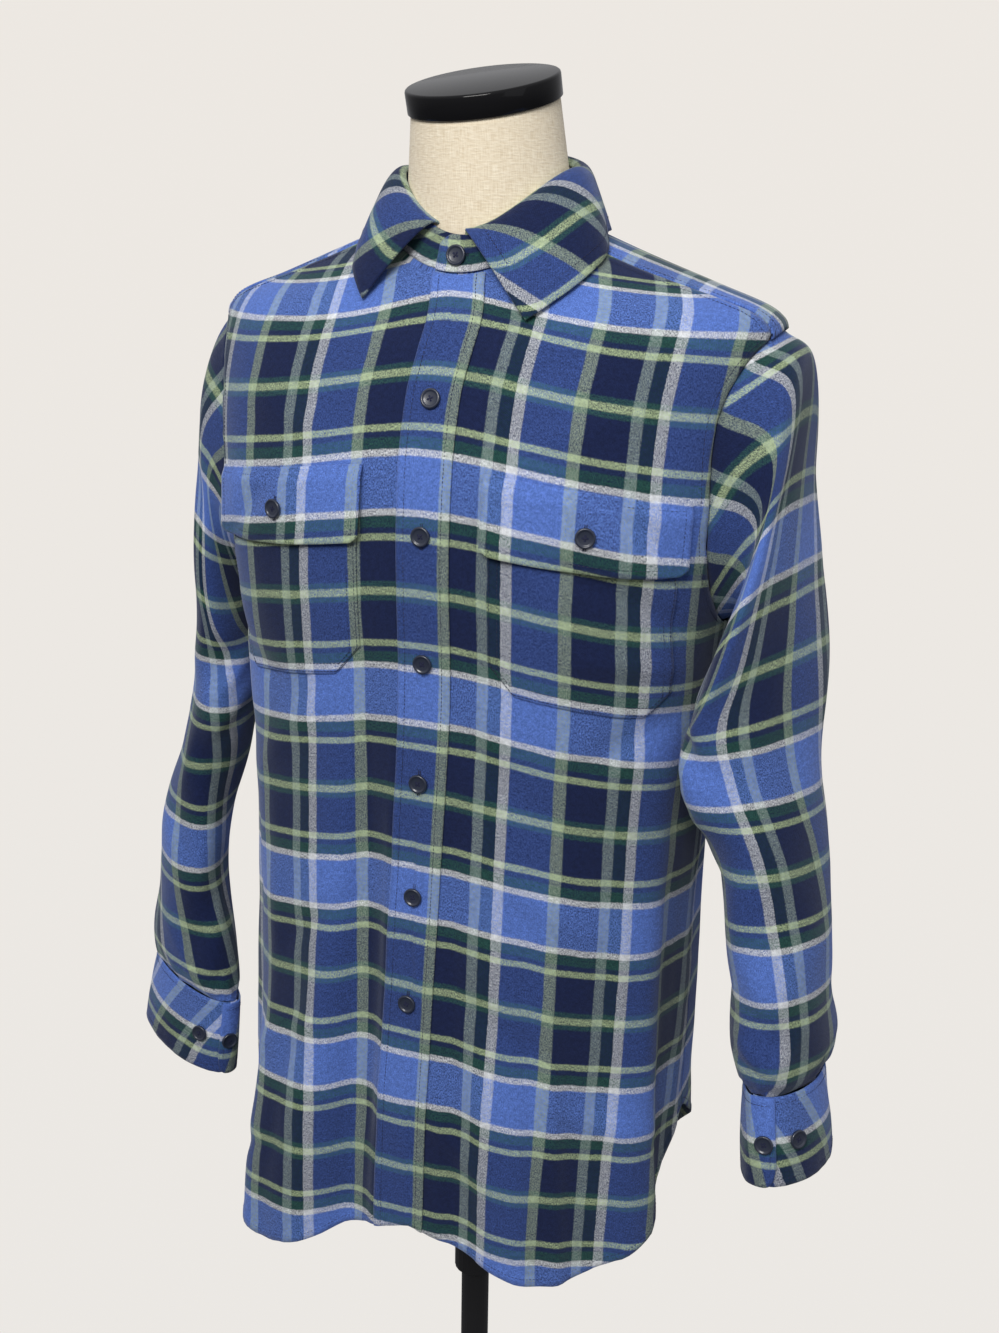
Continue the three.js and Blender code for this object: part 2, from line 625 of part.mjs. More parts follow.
function chestPocket(side) {
  const columns = [0, 0.07, pocket.chamfer / pocket.width, 0.3, 0.45, 0.6, 0.73, 0.85, 0.93, 1];
  const rows = steps(8).map((t) => columns.map((s) => {
    const across = pocket.inner + s * pocket.width;
    const fromEdge = Math.min(s, 1 - s) * pocket.width;
    const bottom = pocket.bottom + Math.max(0, pocket.chamfer - fromEdge);
    const ring = mix(pocket.top, bottom, t);
    return bodyRaised(angleAcross(ring, side * across), ring, wall + layAir);
  }));
  return gridWall(rows, { outwards: fromAxis });
}

function flapOut(t) {
  return mix(wall + layAir, 2 * (wall + layAir), smoothStep(0, 0.22, t)) + flap.rise * t * t;
}

function pocketFlap(side) {
  const rows = steps(5).map((t) => steps(9).map((s) => {
    const width = pocket.width + 2 * flap.over;
    const across = pocket.inner - flap.over + s * width;
    const fromEdge = Math.min(s, 1 - s) * width;
    const bottom = flap.bottom + flap.outerLift * s * s + Math.max(0, 5 - fromEdge) * 0.8;
    const ring = mix(flap.top, bottom, t);
    return bodyRaised(angleAcross(ring, side * across), ring, flapOut(t));
  }));
  return gridWall(rows, { outwards: fromAxis });
}

// Buttons: dished discs with a raised rim.
const button = { radius: 6.6, thick: 2.6, dish: 0.9, rim: 1.7 };

function buttonShape() {
  const { radius, thick, dish, rim } = button;
  const profile = [
    [0, 0], [radius - 0.6, 0], [radius, thick - 0.4], [radius - 0.8, thick],
    [radius - rim - 0.6, thick - dish], [0, thick - dish],
  ];
  const points = profile.map(([x, y]) => new THREE.Vector2(x, y));
  return new THREE.LatheGeometry(points, 10).rotateX(Math.PI / 2);
}

function placedButton(point, normal) {
  const turn = new THREE.Quaternion().setFromUnitVectors(new THREE.Vector3(0, 0, 1), normal);
  return { geometry: buttonShape(), point, turn };
}

const frontButtons = [1341, 1232, 1143, 1055, 967, 882];

function buttonOnBand(ring) {
  const angle = angleAcross(ring, bandSet + bandDrift(ring));
  const out = 2 * wall + layAir + 0.5;
  return placedButton(bodyRaised(angle, ring, out), bodyNormal(angle, ring));
}

function buttonOnStand() {
  const point = standPoint(0, 0.46, 2 * wall + layAir + 1.1);
  const normal = new THREE.Vector3(0, -0.95, 0.18).normalize();
  return placedButton(point, normal);
}

function buttonOnFlap(side) {
  const place = 0.5;
  const ring = mix(flap.top, flap.bottom, 0.52);
  const angle = angleAcross(ring, side * (pocket.inner + place * pocket.width));
  const out = flapOut(0.52) + wall + 0.6;
  return placedButton(bodyRaised(angle, ring, out), bodyNormal(angle, ring));
}

function buttonOnCuff(table, side, around, down, out) {
  const point = cuffPoint(table, side, around, down, out + wall);
  const next = cuffPoint(table, side, around + 2, down, out + wall);
  const lower = cuffPoint(table, side, around, down + 0.1, out + wall);
  const normal = next.sub(point).cross(lower.sub(point)).normalize();
  if (normal.dot(sleeveAxis(table, side)(point)) < 0) normal.negate();
  return placedButton(point.addScaledVector(normal, 0.9), normal);
}

// Dress form: a smooth general torso with a neck, inside the cloth and clear of it.
const formFloor = 836;
const neckInset = 8;
const neckHead = { x: -1, y: -10, z: 1538, radius: 51.5, forward: 15, aside: 3 };
const neckCap = { radius: 53.5, thick: 16, bevel: 1.5 };

function formInset(ring) {
  return mix(21, 4.6, smoothStep(1080, 1400, ring));
}

function capFrame() {
  const turn = new THREE.Euler(neckHead.forward * degrees, -neckHead.aside * degrees, 0);
  return new THREE.Matrix4().makeRotationFromEuler(turn)
    .setPosition(neckHead.x, neckHead.y, neckHead.z);
}

function formRings() {
  const rings = [];
  const torso = [0, 10, 90, 180, 260, 330, 390, 440, 490, 530, 560, 580, 596, 610];
  const angles = steps(24).slice(0, -1).map((s) => s * 360);
  for (const up of torso) {
    const ring = formFloor - 14 + up;
    rings.push(angles.map((angle) => {
      const size = readTable(bodyRings, 'side', ring);
      const point = bodyPoint(angle, ring);
      const fold = foldDepth(angle, ring);
      const out = outwardAt(angle);
      const round = up === 0 ? 8 : 0;
      point.addScaledVector(out, -fold - formInset(ring) - round);
      point.x -= size.shift * (1 - smoothStep(1150, 1390, ring));
      point.z = mix(formFloor + up, point.z - 2, smoothStep(1150, 1390, ring));
      return point;
    }));
  }
  const inset = (point, angle, by, drop) => {
    const moved = point.addScaledVector(outwardAt(angle), -by);
    moved.z -= drop;
    return moved;
  };
  const cap = capFrame();
  rings.push(angles.map((angle) => inset(bodyPoint(angle, neckRing), angle, neckInset, 6)));
  rings.push(angles.map((angle) => inset(bodyPoint(angle, neckRing), angle, neckInset + 2, -8)));
  for (const t of [0.4, 0.7, 1]) {
    rings.push(angles.map((angle) => {
      const across = Math.sin(angle * degrees);
      const forward = Math.cos(angle * degrees);
      const root = inset(bodyPoint(angle, neckRing), angle, neckInset + 3, -8);
      const head = new THREE.Vector3(neckHead.radius * across, -neckHead.radius * forward, 0);
      return root.lerp(head.applyMatrix4(cap), t);
    }));
  }
  return rings;
}

// Closes a stack of rings with a fan at each end.
function loft(rings) {
  const width = rings[0].length;
  const positions = [];
  rings.forEach((ring) => ring.forEach((point) => positions.push(point.x, point.y, point.z)));
  const faces = [];
  const at = (i, j) => i * width + (j % width);
  for (let i = 0; i < rings.length - 1; i += 1) {
    for (let j = 0; j < width; j += 1) {
      faces.push(at(i, j), at(i, j + 1), at(i + 1, j + 1), at(i, j), at(i + 1, j + 1), at(i + 1, j));
    }
  }
  const end = (ring, i, first) => {
    const centre = new THREE.Vector3();
    ring.forEach((point) => centre.addScaledVector(point, 1 / width));
    const index = positions.length / 3;
    positions.push(centre.x, centre.y, centre.z);
    for (let j = 0; j < width; j += 1) {
      faces.push(index, at(i, first ? j + 1 : j), at(i, first ? j : j + 1));
    }
  };
  end(rings[0], 0, true);
  end(rings[rings.length - 1], rings.length - 1, false);
  return closedGeometry(positions, faces);
}

function neckCapShape() {
  const { radius, thick, bevel } = neckCap;
  const profile = [
    [0, 0], [radius, 0], [radius, thick - bevel], [radius - bevel, thick], [0, thick],
  ];
  const points = profile.map(([x, y]) => new THREE.Vector2(x, y));
  const disc = new THREE.LatheGeometry(points, 36).rotateX(Math.PI / 2);
  return disc.translate(0, 0, seamGap).applyMatrix4(capFrame());
}

// Stand: a round base, a hollow lower tube, a clamp collar with its knob and the rod that slides.
const base = { radius: 165, thick: 12, bevel: 5, boss: 21, bossTop: 30 };
const tube = { outer: 12, inner: 10, top: 598 };
const rod = { radius: 9.2, bottom: 350, flange: 48, flangeThick: 5 };
const clamp = { radius: 18, bottom: 582, top: 628, knobHeight: 613, boss: 8.5, bossReach: 24 };
const knob = { stem: 3, head: 11.5, headFrom: 26, headLong: 15 };

function lathe(profile, segments) {
  const points = profile.map(([x, y]) => new THREE.Vector2(x, y));
  return new THREE.LatheGeometry(points, segments).rotateX(Math.PI / 2);
}

function standBase() {
  const { radius, thick, bevel, boss, bossTop } = base;
  return lathe([
    [0, 0], [radius, 0], [radius, thick - bevel], [radius - bevel, thick],
    [boss, thick + 3], [boss, bossTop - 2], [boss - 2, bossTop],
    [tube.outer + 0.3, bossTop], [tube.outer + 0.3, thick + 2], [0, thick + 2],
  ], 32);
}

function lowerTube() {
  const foot = base.thick + 2.3;
  return lathe([
    [tube.inner, foot], [tube.outer, foot], [tube.outer, tube.top], [tube.inner, tube.top],
    [tube.inner, foot],
  ], 28);
}

function upperRod() {
  const top = formFloor - seamGap;
  return lathe([
    [0, rod.bottom], [rod.radius, rod.bottom], [rod.radius, top - rod.flangeThick - 3],
    [rod.radius + 4, top - rod.flangeThick], [rod.flange, top - rod.flangeThick],
    [rod.flange, top], [0, top],
  ], 24);
}

function clampCollar() {
  const body = lathe([
    [tube.outer + 0.3, clamp.bottom], [clamp.radius - 2, clamp.bottom], [clamp.radius, clamp.bottom + 2],
    [clamp.radius, clamp.top - 3], [clamp.radius - 3, clamp.top], [rod.radius + 0.3, clamp.top],
    [rod.radius + 0.3, tube.top + 0.3], [tube.outer + 0.3, tube.top + 0.3],
    [tube.outer + 0.3, clamp.bottom],
  ], 22);
  const sideways = (shape) => shape.rotateY(-Math.PI / 2).translate(0, 0, clamp.knobHeight);
  const boss = sideways(lathe([
    [0, 13], [clamp.boss, 13], [clamp.boss, clamp.bossReach], [0, clamp.bossReach],
  ], 20));
  const hole = sideways(lathe([[0, 0], [knob.stem + 0.3, 0], [knob.stem + 0.3, 40], [0, 40]], 16));
  return solidOf(body).add(solidOf(boss)).subtract(solidOf(hole));
}

function clampKnob() {
  const reach = knob.headFrom + knob.headLong;
  return lathe([
    [0, rod.radius + 0.4], [knob.stem, rod.radius + 0.4], [knob.stem, knob.headFrom - 1],
    [knob.head - 4, knob.headFrom - 1], [knob.head, knob.headFrom + 2], [knob.head, reach - 3],
    [knob.head - 3, reach], [0, reach],
  ], 22).rotateY(-Math.PI / 2).translate(0, 0, clamp.knobHeight);
}

const manifold = await Module();
manifold.setup();

function solidOf(geometry) {
  const bare = geometry.clone();
  bare.deleteAttribute('normal');
  bare.deleteAttribute('uv');
  const merged = mergeVertices(bare, 1e-4);
  const mesh = new manifold.Mesh({
    numProp: 3,
    vertProperties: merged.attributes.position.array,
    triVerts: new Uint32Array(merged.index.array),
  });
  return new manifold.Manifold(mesh);
}

function fromSolid(solid) {
  const mesh = solid.getMesh();
  const geometry = new THREE.BufferGeometry();
  geometry.setAttribute('position', new THREE.BufferAttribute(mesh.vertProperties, 3));
  geometry.setIndex(new THREE.BufferAttribute(mesh.triVerts, 1));
  geometry.computeVertexNormals();
  return geometry;
}

// Finishes, one for each kind of material.
const finishes = {
  plaid: { color: 0x3f5488, roughness: 0.95, metalness: 0 },
  band: { color: 0x4a67b4, roughness: 0.95, metalness: 0 },
  buttonNavy: { color: 0x22283a, roughness: 0.3, metalness: 0 },
  linen: { color: 0xd8ccb4, roughness: 0.9, metalness: 0 },
  glossBlack: { color: 0x0a0a0b, roughness: 0.12, metalness: 0 },
  paintBlack: { color: 0x141416, roughness: 0.35, metalness: 0.6 },
};

const group = new THREE.Group();

function addPiece(name, finish, geometry) {
  const mesh = new THREE.Mesh(geometry, new THREE.MeshStandardMaterial(finishes[finish]));
  mesh.name = name;
  group.add(mesh);
  return mesh;
}

function addButton(name, placed) {
  const mesh = addPiece(name, 'buttonNavy', placed.geometry);
  mesh.position.copy(placed.point);
  mesh.quaternion.copy(placed.turn);
}

addPiece('front_left', 'plaid', front(1));
addPiece('front_right', 'plaid', front(-1));
addPiece('back', 'plaid', back());
addPiece('yoke', 'plaid', yoke());
addPiece('front_placket', 'band', frontBand());
addPiece('collar_stand', 'plaid', collarStand());
addPiece('collar', 'plaid', collarLeaf());
addButton('button_front_1', buttonOnStand());
frontButtons.forEach((ring, i) => addButton(`button_front_${i + 2}`, buttonOnBand(ring)));
for (const [name, side, table] of [['left', 1, leftSleeve], ['right', -1, rightSleeve]]) {
  addPiece(`sleeve_${name}`, 'plaid', sleeve(table, side));
  addPiece(`cuff_${name}`, 'band', cuffBand(table, side));
  addPiece(`sleeve_placket_${name}`, 'band', sleeveStrip(table, side));
  addPiece(`pocket_${name}`, 'plaid', chestPocket(side));
  addPiece(`flap_${name}`, 'band', pocketFlap(side));
  addButton(`button_pocket_${name}`, buttonOnFlap(side));
  addButton(`button_cuff_${name}_1`, buttonOnCuff(table, side, cuff.lapFrom + 14, 0.5, wall + layAir));
  addButton(`button_cuff_${name}_2`, buttonOnCuff(table, side, cuff.lapFrom - 26, 0.5, 0));
}
addPiece('form_torso', 'linen', loft(formRings()));
addPiece('form_neck_cap', 'glossBlack', neckCapShape());
addPiece('stand_upper_rod', 'paintBlack', upperRod());
addPiece('stand_lower_tube', 'paintBlack', lowerTube());
addPiece('stand_clamp_collar', 'paintBlack', fromSolid(clampCollar()));
addPiece('stand_knob', 'paintBlack', clampKnob());
addPiece('stand_base', 'paintBlack', standBase());

export default group;
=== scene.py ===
import math
import bpy
import numpy as np
from mathutils import Matrix, Vector


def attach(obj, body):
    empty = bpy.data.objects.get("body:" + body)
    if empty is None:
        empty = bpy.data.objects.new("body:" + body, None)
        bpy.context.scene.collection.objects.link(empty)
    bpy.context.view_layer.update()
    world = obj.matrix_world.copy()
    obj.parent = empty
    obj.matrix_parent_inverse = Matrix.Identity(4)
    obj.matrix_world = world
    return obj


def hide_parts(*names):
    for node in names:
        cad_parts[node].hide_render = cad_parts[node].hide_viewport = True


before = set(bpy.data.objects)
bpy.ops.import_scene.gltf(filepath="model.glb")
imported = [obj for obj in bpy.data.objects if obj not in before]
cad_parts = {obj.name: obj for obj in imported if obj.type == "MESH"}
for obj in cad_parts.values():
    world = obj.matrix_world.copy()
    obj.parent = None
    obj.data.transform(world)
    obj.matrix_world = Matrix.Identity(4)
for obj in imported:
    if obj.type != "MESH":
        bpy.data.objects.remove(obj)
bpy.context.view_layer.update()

# A plaid flannel shirt on a limbless dress form. Shapes are worked out in millimetres, as the
# solids are, and written in metres. The front faces -Y and the wearer's left is +X.
milli = 0.001
body = "dressed_form"
rand = np.random.default_rng(11)

cloth = {"wall": 1.6, "air": 0.8, "gap": 0.3, "inner": 0.25, "outer": 1.45}
band = {"width": 38, "set": 2, "split": 10}
neckRing = 1457
# Cloth round the body for each degree, about, in millimetres.
perDegree = 2.9


# Reading tables, soft steps and noise


def smoothStep(low, high, value):
    t = np.clip((np.asarray(value, float) - low) / (high - low), 0, 1)
    return t * t * (3 - 2 * t)


def mix(a, b, t):
    return a + (b - a) * t


def table(columns, rows):
    return dict(zip(columns, np.array(rows, float).T))


# Smooth curves through a table's rows. The first column is the one it is read by.
def readTable(rows, value):
    names = list(rows)
    key = rows[names[0]]
    value = np.asarray(value, float)
    i = np.clip(np.searchsorted(key, value) - 1, 0, len(key) - 2)
    before = np.maximum(i - 1, 0)
    after = np.minimum(i + 2, len(key) - 1)
    span = key[i + 1] - key[i]
    t = np.clip((value - key[i]) / span, 0, 1)
    read = {}
    for name in names:
        col = rows[name]
        slopeA = (col[i + 1] - col[before]) / (key[i + 1] - key[before]) * span
        slopeB = (col[after] - col[i]) / (key[after] - key[i]) * span
        read[name] = ((2 * t**3 - 3 * t**2 + 1) * col[i] + (t**3 - 2 * t**2 + t) * slopeA
                      + (3 * t**2 - 2 * t**3) * col[i + 1] + (t**3 - t**2) * slopeB)
    return read


def turned(angle):
    return (np.asarray(angle, float) % 360 + 540) % 360 - 180


noiseGrid = rand.random((64, 64)) * 2 - 1


# Smooth noise in -1..1 over two coordinates, repeating every 64 steps.
def noise(x, y):
    x, y = np.broadcast_arrays(np.asarray(x, float), np.asarray(y, float))
    i, j = np.floor(x).astype(int), np.floor(y).astype(int)
    fx, fy = x - i, y - j
    fx, fy = fx * fx * (3 - 2 * fx), fy * fy * (3 - 2 * fy)
    pick = lambda a, b: noiseGrid[a % 64, b % 64]
    low = mix(pick(i, j), pick(i + 1, j), fx)
    high = mix(pick(i, j + 1), pick(i + 1, j + 1), fx)
    return mix(low, high, fy)


# Soft creases from a table of lines: each runs from (x0, y0) to (x1, y1) and fades at its ends.
def creases(rows, x, y):
    total = np.zeros(np.broadcast(x, y).shape)
    for x0, y0, x1, y1, width, depth in rows:
        dx, dy = x1 - x0, y1 - y0
        long = math.hypot(dx, dy)
        t = ((x - x0) * dx + (y - y0) * dy) / long**2
        bow = 0.06 * long * np.sin(np.pi * np.clip(t, 0, 1))
        away = ((x - x0) * dy - (y - y0) * dx) / long - bow
        ends = smoothStep(-0.12, 0.3, t) * (1 - smoothStep(0.62, 1.12, t))
        total += depth * ends * np.exp(-(away / width)**2)
    return total


# The body's cloth

bodyRings = table(("side", "front", "back", "half", "fore", "aft", "square", "shift"), (
    (600, 628, 618, 177, 144, 128, 3.0, -3),
    (740, 768, 758, 177, 138, 124, 2.9, -3),
    (880, 908, 898, 176, 129, 118, 2.7, -3),
    (1020, 1048, 1038, 176, 122, 114, 2.6, -2),
    (1130, 1158, 1150, 179, 121, 116, 2.6, 0),
    (1210, 1240, 1232, 186, 124, 119, 2.7, 0),
    (1280, 1303, 1300, 195, 119, 119, 2.8, 0),
    (1345, 1352, 1355, 202, 106, 110, 2.6, 0),
    (1385, 1381, 1388, 206, 95, 98, 2.3, 4),
    (1405, 1397, 1411, 200, 86, 90, 2.1, 6),
    (1422, 1409, 1431, 160, 78, 82, 2.05, 5),
    (1440, 1419, 1449, 114, 70, 74, 2.0, 2),
    (1457, 1428, 1465, 71, 62, 66, 2.0, 0),
))

hemCurve = table(("angle", "ring"), (
    (0, 697), (20, 684), (40, 674), (55, 692), (70, 727), (82, 765), (90, 786), (98, 768),
    (112, 724), (132, 682), (155, 660), (180, 655),
))

# at, width, depth, top, bottom, lean
bodyFolds = (
    (-17, 8, -13, 1210, 560, -0.6), (-33, 9, 6, 1080, 560, -0.4), (-44, 13, 21, 900, 560, -1.2),
    (-58, 10, -6, 1010, 560, 0.8), (17, 7, -6, 900, 560, 1.2), (30, 8, 7, 950, 560, 0.6),
    (47, 9, -9, 1060, 560, 0.7), (62, 8, 7, 900, 560, -0.3), (78, 8, -6, 1150, 620, 0.4),
    (108, 9, -8, 1120, 560, 0.9), (133, 10, 8, 1000, 560, -0.4), (158, 11, -8, 1160, 560, 0.5),
    (183, 10, 6, 980, 560, 0.2), (208, 11, -9, 1100, 560, -0.8), (232, 9, 7, 940, 560, 0.3),
    (255, 9, -7, 1130, 600, -0.5),
)

# Creases over the body: angle and ring of both ends, width and depth in millimetres.
bodyCreases = (
    (66, 1230, 40, 1296, 9, -1.6), (70, 1190, 34, 1232, 10, -1.8), (72, 1165, 40, 1165, 9, 1.5),
    (74, 1140, 44, 1080, 11, -1.9), (60, 1345, 30, 1300, 11, 1.2), (52, 1385, 26, 1345, 10, -1.0),
    (-66, 1230, -44, 1290, 9, -1.5), (-72, 1180, -46, 1120, 10, -1.6), (-60, 1350, -30, 1308, 11, 1.1),
    (-30, 1120, -62, 1040, 12, 1.4), (10, 1120, 40, 1040, 13, -1.3), (24, 1010, 56, 960, 12, 1.3),
    (14, 905, 44, 860, 11, -1.4), (40, 830, 70, 800, 10, 1.5), (-20, 960, -52, 900, 11, -1.2),
    (-28, 860, -60, 800, 11, 1.3), (6, 800, 30, 742, 10, 1.2), (-34, 752, -62, 716, 9, -1.3),
    (112, 1230, 140, 1300, 10, -1.7), (108, 1190, 140, 1150, 11, 1.5), (118, 1100, 150, 1010, 12, -1.5),
    (140, 930, 170, 860, 12, 1.4), (200, 1300, 232, 1240, 11, -1.4), (212, 1150, 244, 1190, 11, 1.6),
    (198, 1040, 226, 950, 12, -1.4), (160, 1330, 198, 1322, 13, 1.2), (216, 860, 246, 800, 11, 1.3),
    (170, 780, 196, 720, 11, -1.3),
)


# Sharper folds of the skirt and waist: at, width, depth, top, bottom and lean, as above.
fineFolds = (
    (-21, 3.6, -5, 1230, 640, -0.5), (-10, 3.2, 2.2, 1130, 640, -0.3), (-30, 3.4, 2.6, 1010, 640, -0.9),
    (-39, 3.6, -3, 960, 640, -1.1), (-52, 4, 3, 1060, 700, 0.5), (-66, 4, -3.4, 1120, 700, 0.4),
    (12, 3, -2.2, 1120, 640, 0.4), (22, 3.4, 2.4, 900, 640, 1.3), (34, 3.8, -3.2, 1060, 640, 0.9),
    (41, 3, 2.6, 980, 640, 0.8), (54, 3.6, -3, 1110, 660, 0.4), (66, 3.4, 3, 1000, 680, 0.2),
    (73, 3.2, -3, 1180, 700, 0.3), (84, 3.4, 2.6, 1100, 740, 0.2), (100, 4, 3, 1120, 700, 0.6),
    (121, 4, -3.4, 1040, 640, 0.2), (144, 4.2, 3, 1130, 640, -0.2), (170, 4, -3.2, 1010, 640, 0.3),
    (194, 4, 3.2, 1120, 640, -0.3), (220, 4, -3.4, 1030, 640, -0.2), (243, 4, 3, 1110, 660, -0.3),
    (262, 4, -3, 1140, 700, 0.3),
)


def foldDepth(angle, ring):
    depth = np.zeros(np.broadcast(angle, ring).shape)
    for at, width, deep, top, bottom, lean in bodyFolds:
        away = turned(angle - at - lean * (top - ring) / 100) / width
        depth = depth + deep * smoothStep(top, top - 0.62 * (top - bottom), ring) * np.exp(-away**2)
    return depth


def bodyPoint(angle, ring):
    size = readTable(bodyRings, ring)
    across, forward = np.sin(np.radians(angle)), np.cos(np.radians(angle))
    depth = np.where(forward > 0, size["fore"], size["aft"])
    power = size["square"]
    reach = (np.abs(across) / size["half"])**power + (np.abs(forward) / depth)**power
    radius = reach**(-1 / power) + foldDepth(angle, ring)
    end = np.where(forward > 0, size["front"], size["back"])
    height = ring + (end - ring) * forward**2
    return np.stack(np.broadcast_arrays(radius * across + size["shift"], -radius * forward, height), -1)


def unit(vectors):
    return vectors / np.maximum(np.linalg.norm(vectors, axis=-1, keepdims=True), 1e-9)


def bodyNormal(angle, ring):
    along = bodyPoint(angle + 0.5, ring) - bodyPoint(angle - 0.5, ring)
    up = bodyPoint(angle, np.minimum(ring + 1, neckRing)) - bodyPoint(angle, ring - 1)
    return unit(np.cross(along, up))


# Small relief that every layer of the body shares, so that layers stay apart.
def bodyRelief(angle, ring):
    fine = np.zeros(np.broadcast(angle, ring).shape)
    for at, width, deep, top, bottom, lean in fineFolds:
        away = turned(angle - at - lean * (top - ring) / 100) / width
        fine = fine + deep * smoothStep(top, mix(top, bottom, 0.45), ring) * np.exp(-away**2)
    x, y = turned(angle) * perDegree, np.asarray(ring, float)
    back = np.asarray(angle, float) % 360 * perDegree
    scaled = [(a * perDegree, b, c * perDegree, d, w, e) for a, b, c, d, w, e in bodyCreases]
    lines = [row for row in scaled if row[0] < 90 * perDegree]
    backLines = [row for row in scaled if row[0] >= 90 * perDegree]
    soft = 1.7 * (creases(lines, x, y) + creases(backLines, back, y))
    soft = soft + 1.5 * noise(back / 55 + 3.1, y / 80) + 0.6 * noise(back / 21 + 9.7, y / 30)
    return (soft + fine) * (1 - smoothStep(1400, 1440, ring))


def bodyRaised(angle, ring, out):
    out = np.asarray(out) + bodyRelief(angle, ring)
    return bodyPoint(angle, ring) + bodyNormal(angle, ring) * out[..., None]


# Lengths along the cloth, worked out once over the body and read between.
mapRings = np.arange(600, 1458, 6.0)
mapAngles = np.arange(0, 361, 1.0)
mapPoints = bodyPoint(mapAngles[None, :], mapRings[:, None])
acrossSteps = np.linalg.norm(np.diff(mapPoints, axis=1), axis=2)
acrossMap = np.concatenate([np.zeros((len(mapRings), 1)), np.cumsum(acrossSteps, 1)], 1)
upSteps = np.linalg.norm(np.diff(mapPoints, axis=0), axis=2)
upMap = np.concatenate([np.zeros((1, len(mapAngles))), np.cumsum(upSteps, 0)])


def readMap(values, angle, ring):
    x = np.clip((np.asarray(ring, float) - mapRings[0]) / 6, 0, len(mapRings) - 1.001)
    y = np.clip(np.asarray(angle, float) % 360, 0, 359.999)
    i, j = x.astype(int), y.astype(int)
    low = mix(values[i, j], values[i, j + 1], y - j)
    high = mix(values[i + 1, j], values[i + 1, j + 1], y - j)
    return mix(low, high, x - i)


# Cloth coordinates of the body: across from the centre front and down from a fixed ring.
plaidRing = 1194


def clothAcross(angle, ring):
    length = readMap(acrossMap, angle, ring)
    whole = readMap(acrossMap, 359.99, ring)
    return np.where(turned(angle) < 0, length - whole, length)


def clothDown(angle, ring):
    start = np.full_like(np.asarray(ring, float), plaidRing)
    return readMap(upMap, angle, start) - readMap(upMap, angle, ring)


def hemRing(angle):
    away = (turned(angle) + 52) / 22
    return readTable(hemCurve, np.abs(turned(angle)))["ring"] - 16 * np.exp(-away**2)


def bandDrift(ring):
    return -9 * smoothStep(1150, 700, ring)


# The angle that lies a distance across from the centre front, at a ring.
def angleAt(ring, distance):
    ring, distance = np.broadcast_arrays(np.asarray(ring, float), np.asarray(distance, float))
    angle = distance / perDegree
    for step in range(8):
        slope = (clothAcross(angle + 0.5, ring) - clothAcross(angle - 0.5, ring))
        angle = angle - np.clip((clothAcross(angle, ring) - distance) / np.maximum(slope, 1), -8, 8)
    return angle


# Building meshes


def newObject(name, points, faces, material, uv=None, replaces=()):
    mesh = bpy.data.meshes.new(name)
    mesh.from_pydata(points * milli, [], faces)
    if uv is not None:
        layer = mesh.uv_layers.new(name="cloth")
        index = np.empty(len(mesh.loops), int)
        mesh.loops.foreach_get("vertex_index", index)
        layer.data.foreach_set("uv", (uv[index] * milli).ravel())
    mesh.shade_smooth()
    mesh.materials.append(material)
    obj = bpy.data.objects.new(name, mesh)
    bpy.context.scene.collection.objects.link(obj)
    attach(obj, body)
    if replaces:
        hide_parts(*replaces)
    return obj


def gridFaces(index):
    a, b, c, d = index[:-1, :-1], index[:-1, 1:], index[1:, 1:], index[1:, :-1]
    return np.stack([a, b, c, d], -1).reshape(-1, 4)


# A wall between an inner and an outer grid of points, with rounded edges all round.
def shell(name, inner, outer, uv, material, replaces=()):
    rows, cols = inner.shape[:2]
    count = rows * cols
    grid = np.arange(count).reshape(rows, cols)
    edge = np.concatenate([grid[0, :-1], grid[:-1, -1], grid[-1, :0:-1], grid[:0:-1, 0]])
    inside = np.clip(np.stack(np.divmod(edge, cols), 1), 1, [rows - 2, cols - 2])
    inside = inside[:, 0] * cols + inside[:, 1]
    flatIn, flatOut = inner.reshape(-1, 3), outer.reshape(-1, 3)
    middle = (flatIn[edge] + flatOut[edge]) / 2
    away = unit(middle - (flatIn[inside] + flatOut[inside]) / 2)
    thick = np.linalg.norm(flatOut[edge] - flatIn[edge], axis=1, keepdims=True)
    middle = middle + away * thick * 0.32
    points = np.concatenate([flatOut, flatIn, middle])
    flatUv = np.asarray(uv, float).reshape(-1, 2)
    allUv = np.concatenate([flatUv, flatUv, flatUv[edge]])
    rim = np.arange(len(edge)) + 2 * count
    following = np.roll(edge, -1)
    rimNext = np.roll(rim, -1)
    faces = [gridFaces(grid), gridFaces(grid + count)[:, ::-1],
             np.stack([following, edge, rim, rimNext], 1),
             np.stack([rimNext, rim, edge + count, following + count], 1)]
    middleCell = (rows // 2, cols // 2)
    a, b = outer[middleCell], outer[middleCell[0], middleCell[1] + 1]
    d = outer[middleCell[0] + 1, middleCell[1]]
    if np.dot(np.cross(b - a, d - a), a - inner[middleCell]) < 0:
        faces = [each[:, ::-1] for each in faces]
    return newObject(name, points, np.concatenate(faces).tolist(), material, allUv, replaces)


threadPoints, threadFaces = [], []


